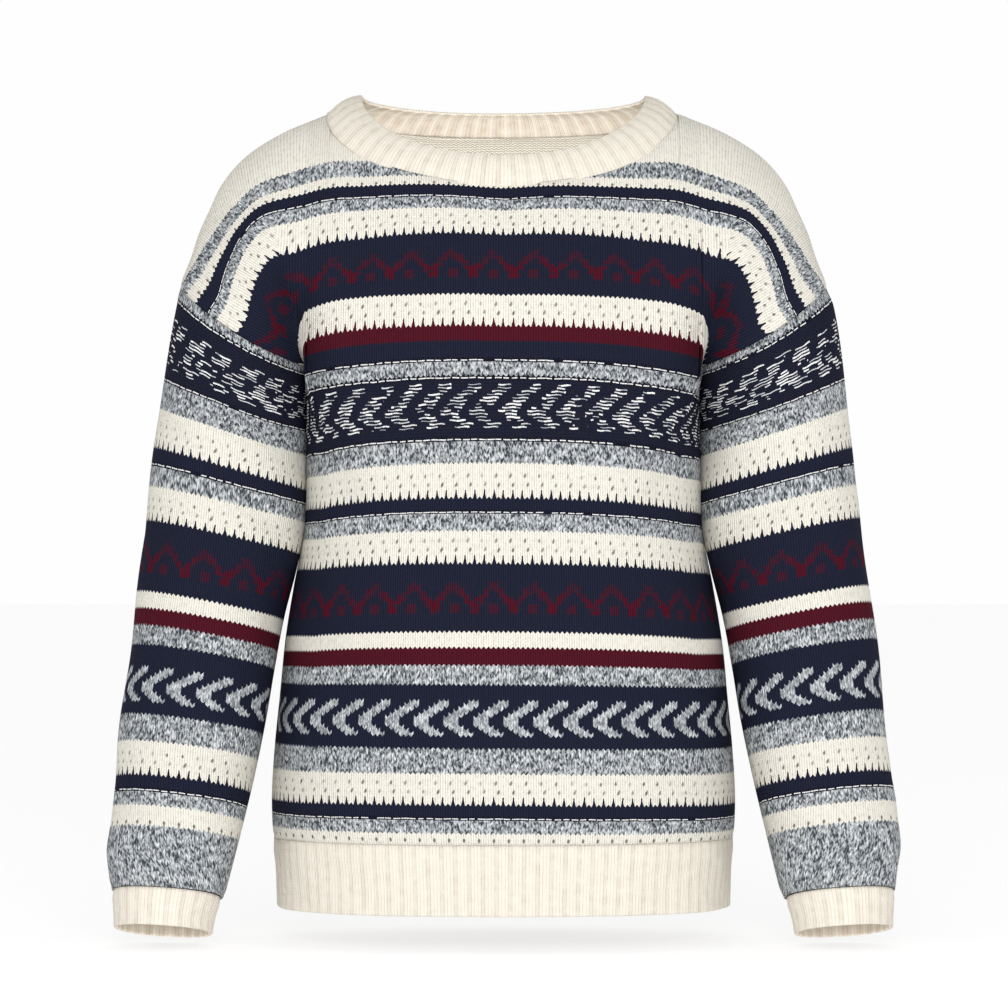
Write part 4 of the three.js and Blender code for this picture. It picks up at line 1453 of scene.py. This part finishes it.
# %% [markdown]
# ## Floor and light
# The setting is plain: a pale floor just under the cuffs, a bright even surround that is dimmer
# overhead, and two large soft lamps in front. The stronger one lights the stitches head on, the
# weaker one hangs higher and to one side, so the folds and the ribs still show.

# %% Set the floor and the surround
FLOOR_Z, FLOOR_REACH = -0.6215, 12.0
corners = [
    (x * FLOOR_REACH, y * FLOOR_REACH, FLOOR_Z) for x, y in ((-1, -1), (1, -1), (1, 1), (-1, 1))
]
floor_mesh = bpy.data.meshes.new("floor")
floor_mesh.from_pydata(corners, [], [(0, 1, 2, 3)])
floor = bpy.data.objects.new("floor", floor_mesh)
bpy.context.scene.collection.objects.link(floor)
floor_paint, floor_tree = new_material("floor_paint")
principled(floor_tree, {
    "Base Color": (0.35, 0.35, 0.35, 1), "Roughness": 0.9, "Specular IOR Level": 0.0,
    "Emission Color": (1, 1, 1, 1), "Emission Strength": 0.735,
})
floor_mesh.materials.append(floor_paint)

world = bpy.data.worlds.new("studio")
bpy.context.scene.world = world
world.use_nodes = True
sky, background = world.node_tree, world.node_tree.nodes["Background"]
background.inputs[0].default_value = (1, 1, 1, 1)
heading = node(sky, "SeparateXYZ", {0: node(sky, "TexCoord").outputs["Generated"]})
overhead = node(
    sky, "MapRange",
    {"Value": heading.outputs[2], "From Min": 0.2, "From Max": 0.8, "To Min": 0.99, "To Max": 0.5},
    interpolation_type="SMOOTHSTEP",
)
connect(sky, overhead.outputs[0], background.inputs[1])
bpy.context.scene.view_settings.view_transform = "Standard"
print("floor height, mm:", round(FLOOR_Z / MM, 1))

# %% [markdown]
# A large lamp gives shadows with soft edges. Its rotation follows from the place it looks at.

# %% Hang the lamps
def soft_lamp(name, place, aim, size, power):
    """A square area lamp at place that looks at aim."""
    lamp = bpy.data.objects.new(name, bpy.data.lights.new(name, "AREA"))
    bpy.context.scene.collection.objects.link(lamp)
    lamp.data.size, lamp.data.energy = size, power
    away = np.array(aim, float) - np.array(place, float)
    flat = np.hypot(away[0], away[1])
    lamp.location = place
    lamp.rotation_euler = (np.arctan2(flat, -away[2]), 0, np.arctan2(-away[0], away[1]))


soft_lamp("key", (-0.7, -3.0, 1.3), (0, 0, -0.3), 1.6, 12)
soft_lamp("front_fill", (0.25, -4.0, 0.45), (0, 0, -0.25), 1.5, 86)
print("lamps:", len(bpy.data.lights))

# %% [markdown]
# ## Tie the pieces to the frame
# Each knitted piece stands for its rigid node, which it hides, and rides on the root body. The
# table lists each piece's finish and the size of the cloth it was cut from, and that size is
# printed. The sizes are those of the pieces lying flat before they were sewn.

# %% Ride and replace
CUTS = [  # piece, node, finish, width, length, share of the rectangle that is cloth
    (front_panel, "front_panel", "striped_knit", 0.56, 0.60, 0.80),
    (back_panel, "back_panel", "striped_knit", 0.56, 0.60, 0.82),
    (left_sleeve, "left_side_sleeve", "striped_knit", 0.37, 0.42, 0.86),
    (right_sleeve, "right_side_sleeve", "striped_knit", 0.37, 0.42, 0.86),
    (neckband, "neckband", "cream_rib", 0.60, 0.030, 1.0),
    (front_hem, "front_hem_rib", "cream_rib", 0.48, 0.051, 1.0),
    (back_hem, "back_hem_rib", "cream_rib", 0.48, 0.051, 1.0),
    (left_cuff, "left_side_cuff", "cream_rib", 0.24, 0.028, 1.0),
    (right_cuff, "right_side_cuff", "cream_rib", 0.24, 0.028, 1.0),
]
for piece, part, finish, width, length, share in CUTS:
    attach(piece, "root")
    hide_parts(part)
    share * width * length
    print(piece.name, "cut from", width, "by", length, "m")

# %% [markdown]
# The knitted pieces should fill the same box as the rigid ones did, give or take the soft folds.
